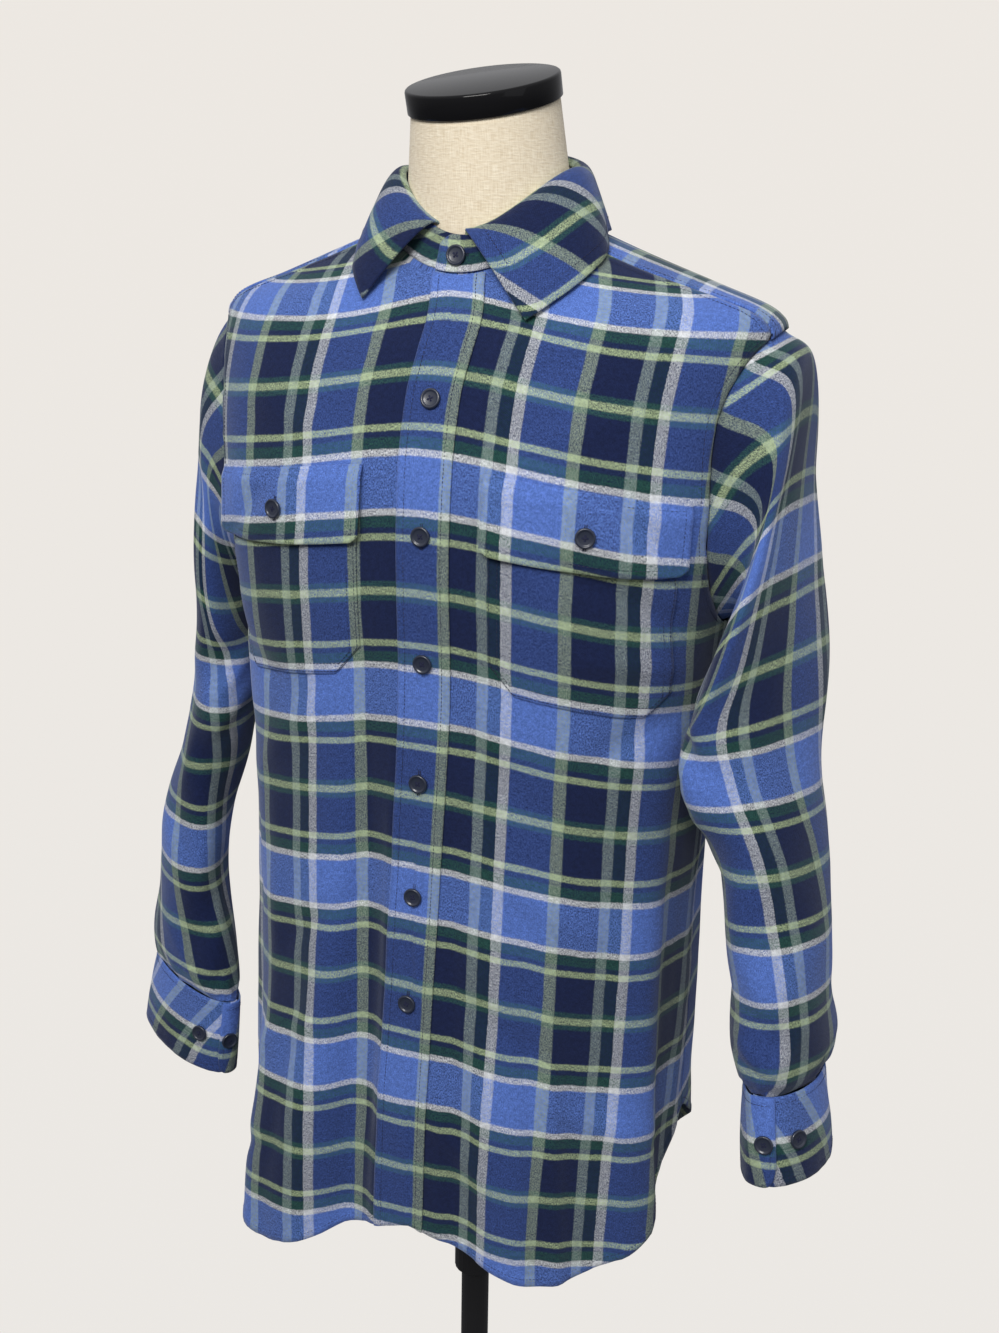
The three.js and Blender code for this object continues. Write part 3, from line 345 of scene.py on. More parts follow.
# Stitches along a path: spindles of thread, half sunk into the cloth.
def stitch(points, normals, pitch=2.9, long=2.25, radius=0.27):
    lengths = np.concatenate([[0], np.cumsum(np.linalg.norm(np.diff(points, axis=0), axis=1))])
    at = np.arange(pitch / 2, lengths[-1], pitch)
    read = lambda values, where: np.stack([np.interp(where, lengths, values[:, k]) for k in range(3)], 1)
    centre = read(points, at)
    way = unit(read(points, at + 0.4) - read(points, at - 0.4))
    normal = unit(read(normals, at))
    across = np.cross(way, normal)
    ends = [centre - way * long / 2 - normal * 0.18, centre + way * long / 2 - normal * 0.18]
    around = []
    for shift in (-0.3, 0.3):
        core = centre + way * long * shift
        around += [core + normal * radius, core + across * radius]
        around += [core - normal * radius, core - across * radius]
    first = sum(len(each) for each in threadPoints)
    count = len(centre)
    threadPoints.append(np.concatenate(ends + around))
    ids = first + np.arange(count)
    at = lambda k: ids + k * count
    for k in range(4):
        n = (k + 1) % 4
        threadFaces.append(np.stack([at(0), at(2 + k), at(2 + n), at(2 + n)], 1)[:, :3])
        threadFaces.append(np.stack([at(2 + k), at(6 + k), at(6 + n), at(2 + n)], 1))
        threadFaces.append(np.stack([at(1), at(6 + n), at(6 + k)], 1))


def stitchBody(angle, ring, out, **how):
    angle, ring = np.broadcast_arrays(np.asarray(angle, float), np.asarray(ring, float))
    points = bodyRaised(angle, ring, np.full(angle.shape, out))
    stitch(points, bodyNormal(angle, ring), **how)


# Materials


def newMaterial(name, rough=0.5, **fixed):
    material = bpy.data.materials.new(name)
    material.use_nodes = True
    shader = material.node_tree.nodes["Principled BSDF"]
    shader.inputs["Roughness"].default_value = rough
    for key, value in fixed.items():
        shader.inputs[key.replace("_", " ")].default_value = value
    return material, material.node_tree, shader


def srgb(r, g, b):
    back = lambda v: v / 12.92 if v <= 0.04045 else ((v + 0.055) / 1.055)**2.4
    return (back(r / 255), back(g / 255), back(b / 255), 1)


def node(tree, kind, **settings):
    made = tree.nodes.new(kind)
    for key, value in settings.items():
        setattr(made, key, value)
    return made


def link(tree, source, target):
    tree.links.new(source, target)


def arithmetic(tree, operation, a, b=None, c=None, clamp=False):
    made = node(tree, "ShaderNodeMath", operation=operation, use_clamp=clamp)
    for i, value in enumerate((a, b, c)):
        if value is None:
            continue
        if isinstance(value, (int, float)):
            made.inputs[i].default_value = value
        else:
            link(tree, value, made.inputs[i])
    return made.outputs[0]


plaid = {
    "navy": srgb(27, 39, 76), "blue": srgb(100, 134, 216), "white": srgb(226, 229, 232),
    "paleGreen": srgb(176, 194, 150), "green": srgb(40, 82, 72), "thin": srgb(32, 48, 84),
    "halo": srgb(46, 84, 78), "paleWarp": srgb(190, 194, 200), "blueWarp": srgb(62, 86, 152),
    "greenWarp": srgb(140, 154, 138), "navyWarp": srgb(17, 25, 58), "greyWarp": srgb(132, 146, 142),
    "darkWarp": srgb(20, 44, 52),
}

# Yarn colours in order, each with its width in millimetres.
warpYarns = (
    ("paleWarp", 7.6), ("blueWarp", 32), ("greenWarp", 8.6), ("navyWarp", 29), ("greyWarp", 8),
    ("darkWarp", 9.4),
)
weftYarns = (
    ("paleGreen", 2.8), ("halo", 4.2), ("navy", 28), ("paleGreen", 4.8), ("thin", 4.2), ("green", 8),
    ("white", 4.8), ("blue", 35), ("white", 4.8), ("green", 8), ("thin", 4.2), ("paleGreen", 4.8),
    ("navy", 28), ("halo", 4.2), ("paleGreen", 2.8),
)
warpRepeat = sum(width for name, width in warpYarns)
weftRepeat = sum(width for name, width in weftYarns)


def yarnRamp(tree, yarns, repeat, place):
    ramp = node(tree, "ShaderNodeValToRGB")
    ramp.color_ramp.interpolation = "LINEAR"
    blur = 0.35 / repeat
    stops = []
    start = 0
    for name, width in yarns:
        stops.append((start / repeat + blur, plaid[name]))
        start += width
        stops.append((start / repeat - blur, plaid[name]))
    elements = ramp.color_ramp.elements
    elements[0].position, elements[0].color = stops[0]
    elements[1].position, elements[1].color = stops[-1]
    for position, colour in stops[1:-1]:
        element = elements.new(position)
        element.color = colour
    link(tree, place, ramp.inputs[0])
    return ramp.outputs[0]


# The woven cloth: yarn ramps across and along, mixed by a twill, with a brushed nap over it.
def plaidGroup():
    tree = bpy.data.node_groups.new("brushed plaid", "ShaderNodeTree")
    for name, kind, value in (("Across Start", "NodeSocketFloat", 0), ("Down Start", "NodeSocketFloat", 0)):
        socket = tree.interface.new_socket(name=name, in_out="INPUT", socket_type=kind)
        socket.default_value = value
    tree.interface.new_socket(name="Color", in_out="OUTPUT", socket_type="NodeSocketColor")
    tree.interface.new_socket(name="Height", in_out="OUTPUT", socket_type="NodeSocketFloat")
    entry, leave = node(tree, "NodeGroupInput"), node(tree, "NodeGroupOutput")
    uv = node(tree, "ShaderNodeUVMap", uv_map="cloth")
    scaled = node(tree, "ShaderNodeVectorMath", operation="SCALE")
    scaled.inputs["Scale"].default_value = 1000
    link(tree, uv.outputs[0], scaled.inputs[0])
    # The nap drags the colours' edges a little.
    nap = node(tree, "ShaderNodeTexNoise", noise_dimensions="3D")
    nap.inputs["Scale"].default_value = 1.1
    nap.inputs["Detail"].default_value = 3
    nap.inputs["Roughness"].default_value = 0.75
    link(tree, scaled.outputs[0], nap.inputs["Vector"])
    napSplit = node(tree, "ShaderNodeSeparateColor")
    link(tree, nap.outputs["Color"], napSplit.inputs[0])
    split = node(tree, "ShaderNodeSeparateXYZ")
    link(tree, scaled.outputs[0], split.inputs[0])
    wave = node(tree, "ShaderNodeTexNoise", noise_dimensions="3D")
    wave.inputs["Scale"].default_value = 0.035
    wave.inputs["Detail"].default_value = 1
    link(tree, scaled.outputs[0], wave.inputs["Vector"])
    waveSplit = node(tree, "ShaderNodeSeparateColor")
    link(tree, wave.outputs["Color"], waveSplit.inputs[0])
    place = []
    for axis in (0, 1):
        dragged = arithmetic(tree, "MULTIPLY_ADD", napSplit.outputs[axis], 2.6, split.outputs[axis])
        bent = arithmetic(tree, "MULTIPLY_ADD", waveSplit.outputs[axis], 1.6, dragged)
        moved = arithmetic(tree, "ADD", bent, entry.outputs[axis])
        repeat = warpRepeat if axis == 0 else weftRepeat
        place.append(arithmetic(tree, "FRACT", arithmetic(tree, "DIVIDE", moved, repeat)))
    warp = yarnRamp(tree, warpYarns, warpRepeat, place[0])
    weft = yarnRamp(tree, weftYarns, weftRepeat, place[1])
    # Twill: fine slanting ribs decide which yarn lies on top, roughened by the nap.
    diagonal = arithmetic(tree, "ADD", split.outputs[0], arithmetic(tree, "MULTIPLY", split.outputs[1], 1.0))
    rib = arithmetic(tree, "SINE", arithmetic(tree, "MULTIPLY", diagonal, 2 * math.pi / 1.3))
    speck = node(tree, "ShaderNodeTexNoise", noise_dimensions="3D")
    speck.inputs["Scale"].default_value = 1.35
    speck.inputs["Detail"].default_value = 2.5
    speck.inputs["Roughness"].default_value = 0.85
    stretch = node(tree, "ShaderNodeVectorMath", operation="MULTIPLY")
    stretch.inputs[1].default_value = (1.0, 0.55, 1)
    link(tree, scaled.outputs[0], stretch.inputs[0])
    link(tree, stretch.outputs[0], speck.inputs["Vector"])
    centred = arithmetic(tree, "SUBTRACT", speck.outputs["Fac"], 0.5)
    rough = arithmetic(tree, "MULTIPLY_ADD", centred, 3.6, 0.5)
    over = arithmetic(tree, "MULTIPLY_ADD", rib, 0.14, rough, clamp=True)
    woven = node(tree, "ShaderNodeMix", data_type="RGBA", blend_type="MIX")
    link(tree, over, woven.inputs["Factor"])
    link(tree, warp, woven.inputs["A"])
    link(tree, weft, woven.inputs["B"])
    # Worn nap: slightly paler in patches.
    patch = node(tree, "ShaderNodeTexNoise", noise_dimensions="3D")
    patch.inputs["Scale"].default_value = 0.3
    patch.inputs["Detail"].default_value = 6
    link(tree, scaled.outputs[0], patch.inputs["Vector"])
    bright = node(tree, "ShaderNodeHueSaturation")
    link(tree, arithmetic(tree, "MULTIPLY_ADD", patch.outputs["Fac"], 0.9, 0.55), bright.inputs["Value"])
    link(tree, woven.outputs["Result"], bright.inputs["Color"])
    link(tree, bright.outputs[0], leave.inputs["Color"])
    nap = arithmetic(tree, "MULTIPLY", speck.outputs["Fac"], 1.6)
    height = arithmetic(tree, "MULTIPLY_ADD", rib, 0.2, nap)
    link(tree, height, leave.inputs["Height"])
    return tree


wovenCloth = plaidGroup()


def plaidMaterial(name, across=0.0, down=0.0):
    material, tree, shader = newMaterial(name, 0.95)
    shader.inputs["Specular IOR Level"].default_value = 0.16
    shader.inputs["Sheen Weight"].default_value = 0.22
    shader.inputs["Sheen Roughness"].default_value = 0.45
    shader.inputs["Sheen Tint"].default_value = (0.75, 0.82, 1, 1)
    woven = node(tree, "ShaderNodeGroup", node_tree=wovenCloth)
    woven.inputs["Across Start"].default_value = across
    woven.inputs["Down Start"].default_value = down
    bump = node(tree, "ShaderNodeBump")
    bump.inputs["Strength"].default_value = 0.55
    bump.inputs["Distance"].default_value = 0.00035
    link(tree, woven.outputs["Height"], bump.inputs["Height"])
    link(tree, woven.outputs["Color"], shader.inputs["Base Color"])
    link(tree, bump.outputs[0], shader.inputs["Normal"])
    return material


panelCloth = {
    "left": plaidMaterial("plaid left front", across=34.6, down=-5),
    "right": plaidMaterial("plaid right front", across=-3, down=-5),
    "band": plaidMaterial("plaid front band", across=24, down=-5),
    "back": plaidMaterial("plaid back", across=34.6, down=-5),
    "yoke": plaidMaterial("plaid yoke", across=20, down=40),
    "sleeve_left": plaidMaterial("plaid left sleeve", across=46, down=20),
    "sleeve_right": plaidMaterial("plaid right sleeve", across=2, down=62),
    "cuff": plaidMaterial("plaid cuff", across=20, down=60),
    "collar": plaidMaterial("plaid collar", across=44, down=108),
    "stand": plaidMaterial("plaid collar stand", across=30, down=90),
}
threadMaterial, _, threadShader = newMaterial("stitching thread", 0.6)
threadShader.inputs["Base Color"].default_value = srgb(22, 28, 62)

armhole = {"low": 1192, "high": 1397, "fore": 20, "aft": 24}
armMiddle = (armhole["low"] + armhole["high"]) / 2
armReach = armhole["high"] - armMiddle
yokeSeam = {"neck": 70, "tip": 83, "back": 1368}
seamHalf = math.degrees(0.15 / 180)


def armholeSide(ring, half):
    reach = (np.asarray(ring, float) - armMiddle) / armReach
    return half * np.sqrt(np.maximum(0, 1 - np.abs(reach)**2.4))


def yokeAngle(ring):
    return mix(yokeSeam["tip"], yokeSeam["neck"], smoothStep(armhole["high"], neckRing, ring))


def frontEdge(ring):
    ring = np.asarray(ring, float)
    side = np.where(ring <= armhole["low"], 90, 90 - armholeSide(ring, armhole["fore"]))
    # The yoke's tip limits the front only in the upper half of the armhole.
    middle = (armhole["low"] + armhole["high"]) / 2
    upper = np.where(ring >= armhole["high"], yokeAngle(ring), np.minimum(side, yokeAngle(ring)))
    return np.where(ring < middle, side, upper)


def backEdge(ring):
    return np.where(np.asarray(ring) <= armhole["low"], 90, 90 + armholeSide(ring, armhole["aft"]))


skirtTop = 880


# Rows of a panel: each gives its ring at an angle. The skirt's rows lean over to the hem's curve.
def panelRows(top, step=4.4, skirtCount=46):
    skirt = [lambda angle, t=t: mix(hemRing(angle), skirtTop, t) for t in np.linspace(0, 1, skirtCount)]
    upper = list(np.arange(skirtTop + step, top, step)) + [1192.2, 1192.8, 1194, 1196, armhole["high"], top]
    level = [lambda angle, r=r: np.full(np.shape(angle), float(r)) for r in sorted(set(upper)) if r <= top]
    return skirt + level


def hemRidge(angle, ring):
    fromHem = ring - hemRing(angle)
    rope = 0.45 * noise(clothAcross(angle, ring) / 5.5 + fromHem / 7, fromHem / 9 + 2)
    return (0.55 * (1 - smoothStep(5.2, 6.4, fromHem)), rope * np.exp(-np.maximum(fromHem - 2, 0) / 7))


def pucker(distance, along, height=0.5, reach=6.0):
    return height * noise(along / 6.5, distance / 40 + 5) * np.exp(-np.abs(distance) / reach)


# fronts
# The cut fronts; the right one has the underlap.
for side, name in ((1, "left"), (-1, "right")):
    share = np.linspace(0, 1, 64)
    angles, rings = [], []
    for ringAt in panelRows(neckRing):
        middle = float(ringAt(np.zeros(1))[0])
        gap = cloth["gap"] if side > 0 else 0
        start = angleAt(middle, band["split"] + gap + float(bandDrift(middle)))
        angle, ring = np.full(share.shape, float(start)), ringAt(np.full(share.shape, float(start)))
        for step in range(3):
            angle = mix(float(start), side * (frontEdge(ring) - seamHalf), share)
            ring = ringAt(angle)
        angles.append(angle)
        rings.append(ring)
    angle, ring = np.array(angles), np.array(rings)
    edge = side * (frontEdge(ring) - seamHalf)
    fromSeam = np.abs(clothAcross(edge, ring) - clothAcross(angle, ring))
    ridge, rope = hemRidge(angle, ring)
    folded = 0.35 * (1 - smoothStep(6.5, 8.5, fromSeam)) + ridge
    ripple = rope + pucker(fromSeam, ring, 0.55)
    inner = bodyRaised(angle, ring, cloth["inner"] + ripple)
    outer = bodyRaised(angle, ring, cloth["outer"] + ripple + folded)
    uv = np.stack([clothAcross(angle, ring), clothDown(angle, ring)], -1)
    front = shell(f"shirt_front_{name}", inner, outer, uv, panelCloth[name], replaces=[f"front_{name}"])
    across = angle[0]
    stitchBody(across, hemRing(across) + 5.6, cloth["outer"] + 0.35)
    long = ring[:, -1] > armhole["low"] + 3
    seamAngle = angleAt(ring[long, -1], clothAcross(edge[long, -1], ring[long, -1]) - side * 7)
    stitchBody(seamAngle, ring[long, -1], cloth["outer"] + 0.3)
print("fronts made")

# back
share = np.linspace(0, 1, 104)
angles, rings = [], []
for ringAt in panelRows(yokeSeam["back"]):
    ring = ringAt(np.full(share.shape, 180.0))
    for step in range(3):
        edge = backEdge(ring) + seamHalf
        angle = mix(edge, 360 - edge, share)
        ring = ringAt(angle)
    angles.append(angle)
    rings.append(ring)
angle, ring = np.array(angles), np.array(rings)
edge = backEdge(ring) + seamHalf
fromSeam = np.minimum(angle - edge, 360 - edge - angle) * perDegree
ridge, rope = hemRidge(angle, ring)
ripple = rope + pucker(fromSeam, ring, 0.55) + pucker(yokeSeam["back"] - ring, angle * perDegree, 0.5)
inner = bodyRaised(angle, ring, cloth["inner"] + ripple)
outer = bodyRaised(angle, ring, cloth["outer"] + ripple + ridge)
backAcross = readMap(acrossMap, angle, ring)
uv = np.stack([backAcross, clothDown(angle, ring)], -1)
back = shell("shirt_back", inner, outer, uv, panelCloth["back"], replaces=["back"])
stitchBody(angle[0], hemRing(angle[0]) + 5.6, cloth["outer"] + 0.35)
print("back made")


def yokeEdge(angle):
    side = np.where(angle > 180, 360 - angle, angle)
    half = np.where(side < 90, armhole["fore"], armhole["aft"])
    reach = np.minimum(1, np.abs(side - 90) / half)
    oval = armMiddle + armReach * (1 - reach**2)**(1 / 2.4)
    return np.maximum(oval, yokeSeam["back"] + cloth["gap"])


# yoke
corner = 90 + float(armholeSide(yokeSeam["back"], armhole["aft"]))
half = np.concatenate([np.linspace(yokeSeam["tip"] + 0.15, corner, 36), np.linspace(corner, 180, 52)[1:]])
columns = np.concatenate([half, 360 - half[-2::-1]])[None, :]
rise = np.linspace(0, 1, 34)[:, None]
ring = mix(yokeEdge(columns), neckRing, rise)
spread = (np.minimum(columns, 360 - columns) - yokeSeam["tip"]) / (180 - yokeSeam["tip"])
angle = mix(yokeAngle(ring) + 0.25, 180, spread)
angle = np.where(columns > 180, 360 - angle, angle)
frontSeam = (np.minimum(angle, 360 - angle) - yokeAngle(ring)) * 2.2
lowSeam = (ring - yokeEdge(columns)) * 1.1
ripple = pucker(frontSeam, ring * 2, 0.5) + pucker(lowSeam, angle * perDegree, 0.45)
fold = 0.55 * (1 - smoothStep(5.5, 7, np.minimum(frontSeam, lowSeam)))
inner = bodyRaised(angle, ring, cloth["inner"] + ripple)
outer = bodyRaised(angle, ring, cloth["outer"] + 0.2 + ripple + fold)
# The plaid turns over the shoulders about a line across the body.
yokeTurn = {"height": 1290, "radius": 125}
uv = np.stack([outer[..., 0] * 1.05,
               np.arctan2(-outer[..., 1], outer[..., 2] - yokeTurn["height"]) * yokeTurn["radius"]], -1)
yoke = shell("shirt_yoke", inner, outer, uv, panelCloth["yoke"], replaces=["yoke"])
seamRings = np.linspace(armhole["high"] + 2, neckRing - 2, 40)
for side in (1, -1):
    stitchBody(side * (yokeAngle(seamRings) + 1.9), seamRings, cloth["outer"] + 0.7)
backAngles = np.linspace(corner + 3, 357 - corner, 120)
stitchBody(backAngles, yokeSeam["back"] + 5.5, cloth["outer"] + 0.7)
print("yoke made")

# front band, laid on both fronts
bandBase = cloth["wall"] + cloth["air"]
share = np.linspace(0, 1, 22)
angles, rings = [], []
for ringAt in panelRows(neckRing):
    middle = float(ringAt(np.zeros(1))[0])
    angle = angleAt(middle, band["set"] + (share - 0.5) * band["width"] + float(bandDrift(middle)))
    angles.append(angle)
    rings.append(np.minimum(ringAt(angle), neckRing - 5))
angle, ring = np.array(angles), np.array(rings)
fromEdge = np.minimum(share, 1 - share)[None, :] * band["width"]
ridge, rope = hemRidge(angle, ring)
stitchDip = -0.28 * np.exp(-((fromEdge - 5.5) / 0.9)**2)
ripple = rope + 0.35 * noise(ring / 7.5 + 0.3 * share[None, :], share[None, :] * 2.5) + 0 * angle
inner = bodyRaised(angle, ring, bandBase - 0.45 + 0.5 * ripple)
rounded = 0.5 * np.exp(-(fromEdge / 1.2)**2)
outer = bodyRaised(angle, ring, bandBase + 1.35 + 0.5 * ripple + stitchDip - rounded)
bandAcross = np.broadcast_to((share - 0.5) * band["width"] + band["set"], angle.shape)
uv = np.stack([bandAcross, clothDown(angle, ring)], -1)
bandPiece = shell("shirt_band", inner, outer, uv, panelCloth["band"], ["front_placket"])
for inset in (5.5, band["width"] - 5.5):
    column = inset / band["width"]
    pathAngle = np.array([np.interp(column, share, each) for each in angle])
    pathRing = np.array([np.interp(column, share, each) for each in ring])
    stitchBody(pathAngle, pathRing, bandBase + 1.15)
print("front band made")

# pockets and flaps
pocket = {"inner": 48, "width": 130, "top": 1268, "bottom": 1133, "chamfer": 19}
flap = {"over": 4, "top": 1285, "bottom": 1227, "outerLift": 10, "rise": 2.2}


def flapOut(t):
    return mix(bandBase, 2 * bandBase, smoothStep(0, 0.22, t)) + flap["rise"] * t * t


for side, name in ((1, "left"), (-1, "right")):
    share, down = np.linspace(0, 1, 40)[None, :], np.linspace(0, 1, 44)[:, None]
    across = pocket["inner"] + share * pocket["width"]
    sideways = np.minimum(share, 1 - share) * pocket["width"]
    bottom = pocket["bottom"] + np.maximum(0, pocket["chamfer"] - sideways)
    ring = mix(pocket["top"], bottom, down) + 0 * share
    angle = angleAt(ring, side * across + 0 * ring)
    fromEdge = np.minimum(sideways + 0 * ring, ring - bottom)
    puff = 0.75 * smoothStep(1, 16, fromEdge) + 0.4 * noise(across / 19 + side, ring / 23)
    tuck = -0.25 * np.exp(-((fromEdge - 2) / 0.8)**2) + pucker(fromEdge, across + ring, 0.35, 5)
    base = bandBase - 0.6 + puff + tuck
    uv = np.stack([side * across + 0 * ring, clothDown(angle, ring)], -1)
    inner, outer = bodyRaised(angle, ring, base), bodyRaised(angle, ring, base + 1.1)
    pocketPiece = shell(f"chest_pocket_{name}", inner, outer, uv, panelCloth[name],
                        replaces=[f"pocket_{name}"])
    for inset in (1.8, 7.5):
        slant = pocket["chamfer"] - inset * 0.41
        low = pocket["bottom"] + inset
        path = [(inset, pocket["top"] - 4), (inset, low + slant - inset), (slant, low),
                (pocket["width"] - slant, low), (pocket["width"] - inset, low + slant - inset),
                (pocket["width"] - inset, pocket["top"] - 4)]
        for a, b in zip(path[:-1], path[1:]):
            t = np.linspace(0, 1, 30)
            pathRing = mix(a[1], b[1], t)
            pathAngle = angleAt(pathRing, side * (pocket["inner"] + mix(a[0], b[0], t)))
            stitchBody(pathAngle, pathRing, bandBase + 0.75)

    share, down = np.linspace(0, 1, 50)[None, :], np.linspace(0, 1, 26)[:, None]
    width = pocket["width"] + 2 * flap["over"]
    across = pocket["inner"] - flap["over"] + share * width
    sideways = np.minimum(share, 1 - share) * width
    bottom = flap["bottom"] + flap["outerLift"] * share**2 + 0.8 * np.maximum(0, 5 - sideways)
    ring = mix(flap["top"], bottom, down)
    angle = angleAt(ring, side * across + 0 * ring)
    lift = flapOut(down) + 1.2 * down**2 * noise(across / 26 + side, 0.3)
    lift = lift + 0.25 * noise(across / 7, ring / 30)
    lift = lift + 1.6 * smoothStep(0.86, 1, share) * down**2
    fromEdge = np.minimum(np.minimum(sideways, (1 - down) * 50), down * 50 + 3)
    dip = -0.25 * np.exp(-((fromEdge - 5) / 0.9)**2)
    uv = np.stack([side * across + 0 * ring, clothDown(angle, ring)], -1)
    inner, outer = bodyRaised(angle, ring, lift + 0.1), bodyRaised(angle, ring, lift + 1.5 + dip)
    flapPiece = shell(f"pocket_flap_{name}", inner, outer, uv, panelCloth[name],
                      [f"flap_{name}"])
    for a, b in (((0.036, 0.05), (0.036, 0.9)), ((0.036, 0.9), (0.964, 0.9)), ((0.964, 0.9), (0.964, 0.05)),
                 ((0, 0.1), (1, 0.1))):
        t = np.linspace(0, 1, 60)
        s, d = mix(a[0], b[0], t), mix(a[1], b[1], t)
        low = flap["bottom"] + flap["outerLift"] * s**2
        pathRing = mix(flap["top"], low, d)
        across = pocket["inner"] - flap["over"] + s * width
        out = flapOut(d) + 1.2 * d**2 * noise(across / 26 + side, 0.3) + 1.6 * smoothStep(0.86, 1, s) * d**2
        pathAngle = angleAt(pathRing, side * across)
        stitch(bodyRaised(pathAngle, pathRing, out + 1.3), bodyNormal(pathAngle, pathRing))
print("pockets made")

# Sleeves

sectionColumns = ("k", "x", "y", "z", "tilt", "thin", "broad", "turn", "nod")
sleeves = {
    "left": table(sectionColumns, (
        (0, 217, 0, 1288, 80, 89, 71, 0, 0), (1, 214, -8, 1240, 68, 62, 72, 20, 0),
        (2, 217, -27, 1192, 52, 39, 72, 33, 0), (3, 218, -41, 1148, 26, 29, 68, 38, 0),
        (4, 222, -42, 1100, 8, 31, 64, 32, 2), (5, 234, -38, 1044, 4, 34, 60, 22, 4),
        (6, 243, -39, 990, 5, 33, 58, 15, 5), (7, 251, -41, 938, 6, 34, 57, 12, 6),
        (8, 256, -43, 900, 6, 36, 59, 11, 6), (9, 258, -45, 877, 7, 32, 53, 10, 6),
        (10, 259, -46, 866, 8, 25, 46, 10, 6),
    )),
    "right": table(sectionColumns, (
        (0, 205, 5, 1282, 82, 86, 62, 0, 0), (1, 208, 7, 1234, 76, 62, 61, 3, 0),
        (2, 213, 8, 1182, 62, 43, 62, 5, 0), (3, 219, 8, 1136, 30, 29, 62, 9, 0),
        (4, 229, 7, 1090, 10, 27, 61, 14, 1), (5, 240, 4, 1036, 6, 28, 59, 22, 2),
        (6, 254, 0, 982, 4, 28, 57, 30, 3), (7, 262, -6, 926, 3, 29, 56, 40, 4),
        (8, 260, -14, 872, 3, 31, 57, 52, 4), (9, 256, -19, 842, 9, 29, 56, 58, 4),
        (10, 254, -22, 830, 12, 21, 55, 62, 4),
    )),
}

# at, down, round, along, depth, slant
sleeveFolds = (
    (70, 0.24, 60, 0.07, 5, 0.06), (105, 0.37, 55, 0.045, -8, -0.07), (130, 0.46, 60, 0.045, 6, -0.05),
    (100, 0.55, 60, 0.05, -7, 0.07), (250, 0.42, 65, 0.06, -7, 0.06), (20, 0.66, 60, 0.06, 4, 0.07),
    (95, 0.76, 60, 0.045, -6, -0.06), (290, 0.72, 55, 0.05, -6, 0.05),
)

# The left sleeve swings forward, and its cloth bags out at the front of the armpit.
armpitFold = (120, 0.2, 42, 0.08, 22, 0)

# Creases down the sleeves in millimetres: around from the outer line, down from the armhole.
sleeveCreases = {
    "left": (
        (30, 60, 62, 190, 11, -1.6), (96, 90, 70, 250, 12, 1.8), (120, 130, 92, 250, 9, -2.0),
        (150, 210, 92, 262, 8, 2.2), (156, 262, 84, 286, 7, -2.4), (154, 300, 96, 330, 8, 2.0),
        (60, 250, 20, 330, 11, -1.3), (40, 330, 92, 400, 11, 1.6), (132, 370, 70, 440, 10, -2.0),
        (120, 440, 60, 500, 9, 1.9), (20, 420, 70, 512, 10, -1.6), (-20, 470, 26, 530, 9, 1.6),
        (-40, 80, -76, 210, 11, -1.5), (-120, 190, -76, 262, 10, 1.9), (-140, 262, -88, 300, 8, -2.1),
        (-60, 290, -24, 360, 11, 1.3), (-110, 360, -60, 440, 10, -1.7), (-96, 460, -44, 520, 9, 1.6),
        (6, 40, 20, 150, 10, 1.2), (-12, 150, 20, 260, 12, -1.1),
    ),
    "right": (
        (26, 50, 56, 170, 11, -1.5), (84, 110, 60, 230, 10, 1.6), (130, 190, 84, 250, 9, -1.9),
        (140, 250, 78, 290, 8, 2.0), (60, 260, 24, 350, 11, -1.4), (22, 350, 76, 420, 11, 1.5),
        (110, 400, 52, 470, 10, -1.8), (84, 470, 30, 530, 9, 1.9), (10, 440, 50, 540, 10, -1.5),
        (-30, 90, -64, 210, 11, -1.5), (-110, 200, -66, 270, 10, 1.8), (-124, 280, -70, 320, 8, -2.0),
        (-50, 330, -12, 410, 11, 1.4), (-100, 380, -52, 450, 10, -1.7), (-80, 470, -30, 530, 9, 1.7),
    ),
}
armholeGap = 0.95


def armholePoint(side, around):
    def spot(turn):
        half = np.where(turn % 360 < 180, armhole["fore"], armhole["aft"])
        up = np.cos(np.radians(turn))
        at = 90 - half * np.sin(np.radians(turn))
        return side * at, armMiddle + armReach * np.sign(up) * np.abs(up)**0.833
    angle, ring = spot(around)
    point, normal = bodyPoint(angle, ring), bodyNormal(angle, ring)
    inward = unit(np.cross(bodyPoint(*spot(around + 1)) - bodyPoint(*spot(around - 1)), normal))
    centre = bodyPoint(np.array(side * 90.0), np.array(armMiddle))
    inward = inward * np.sign(np.sum(inward * (centre - point), -1, keepdims=True))
    return point + inward * armholeGap


# Rodrigues' turn of vectors about unit axes.
def turnAbout(vectors, axis, angle):
    angle = np.radians(angle)[..., None]
    dot = np.sum(vectors * axis, -1, keepdims=True)
    swung = vectors * np.cos(angle) + np.cross(axis, vectors) * np.sin(angle)
    return swung + axis * dot * (1 - np.cos(angle))


def sectionAxes(section):
    tilt = np.radians(np.asarray(section["tilt"], float))
    zero = np.zeros_like(tilt)
    outward = np.stack([np.cos(tilt), zero, np.sin(tilt)], -1)
    forward = np.stack([zero, zero - 1, zero], -1)
    down = np.cross(outward, forward)
    turn, nod = np.asarray(section["turn"], float), np.asarray(section["nod"], float)
    outward, forward = turnAbout(outward, down, turn), turnAbout(forward, down, turn)
    return outward, turnAbout(forward, outward, -nod), turnAbout(down, outward, -nod)


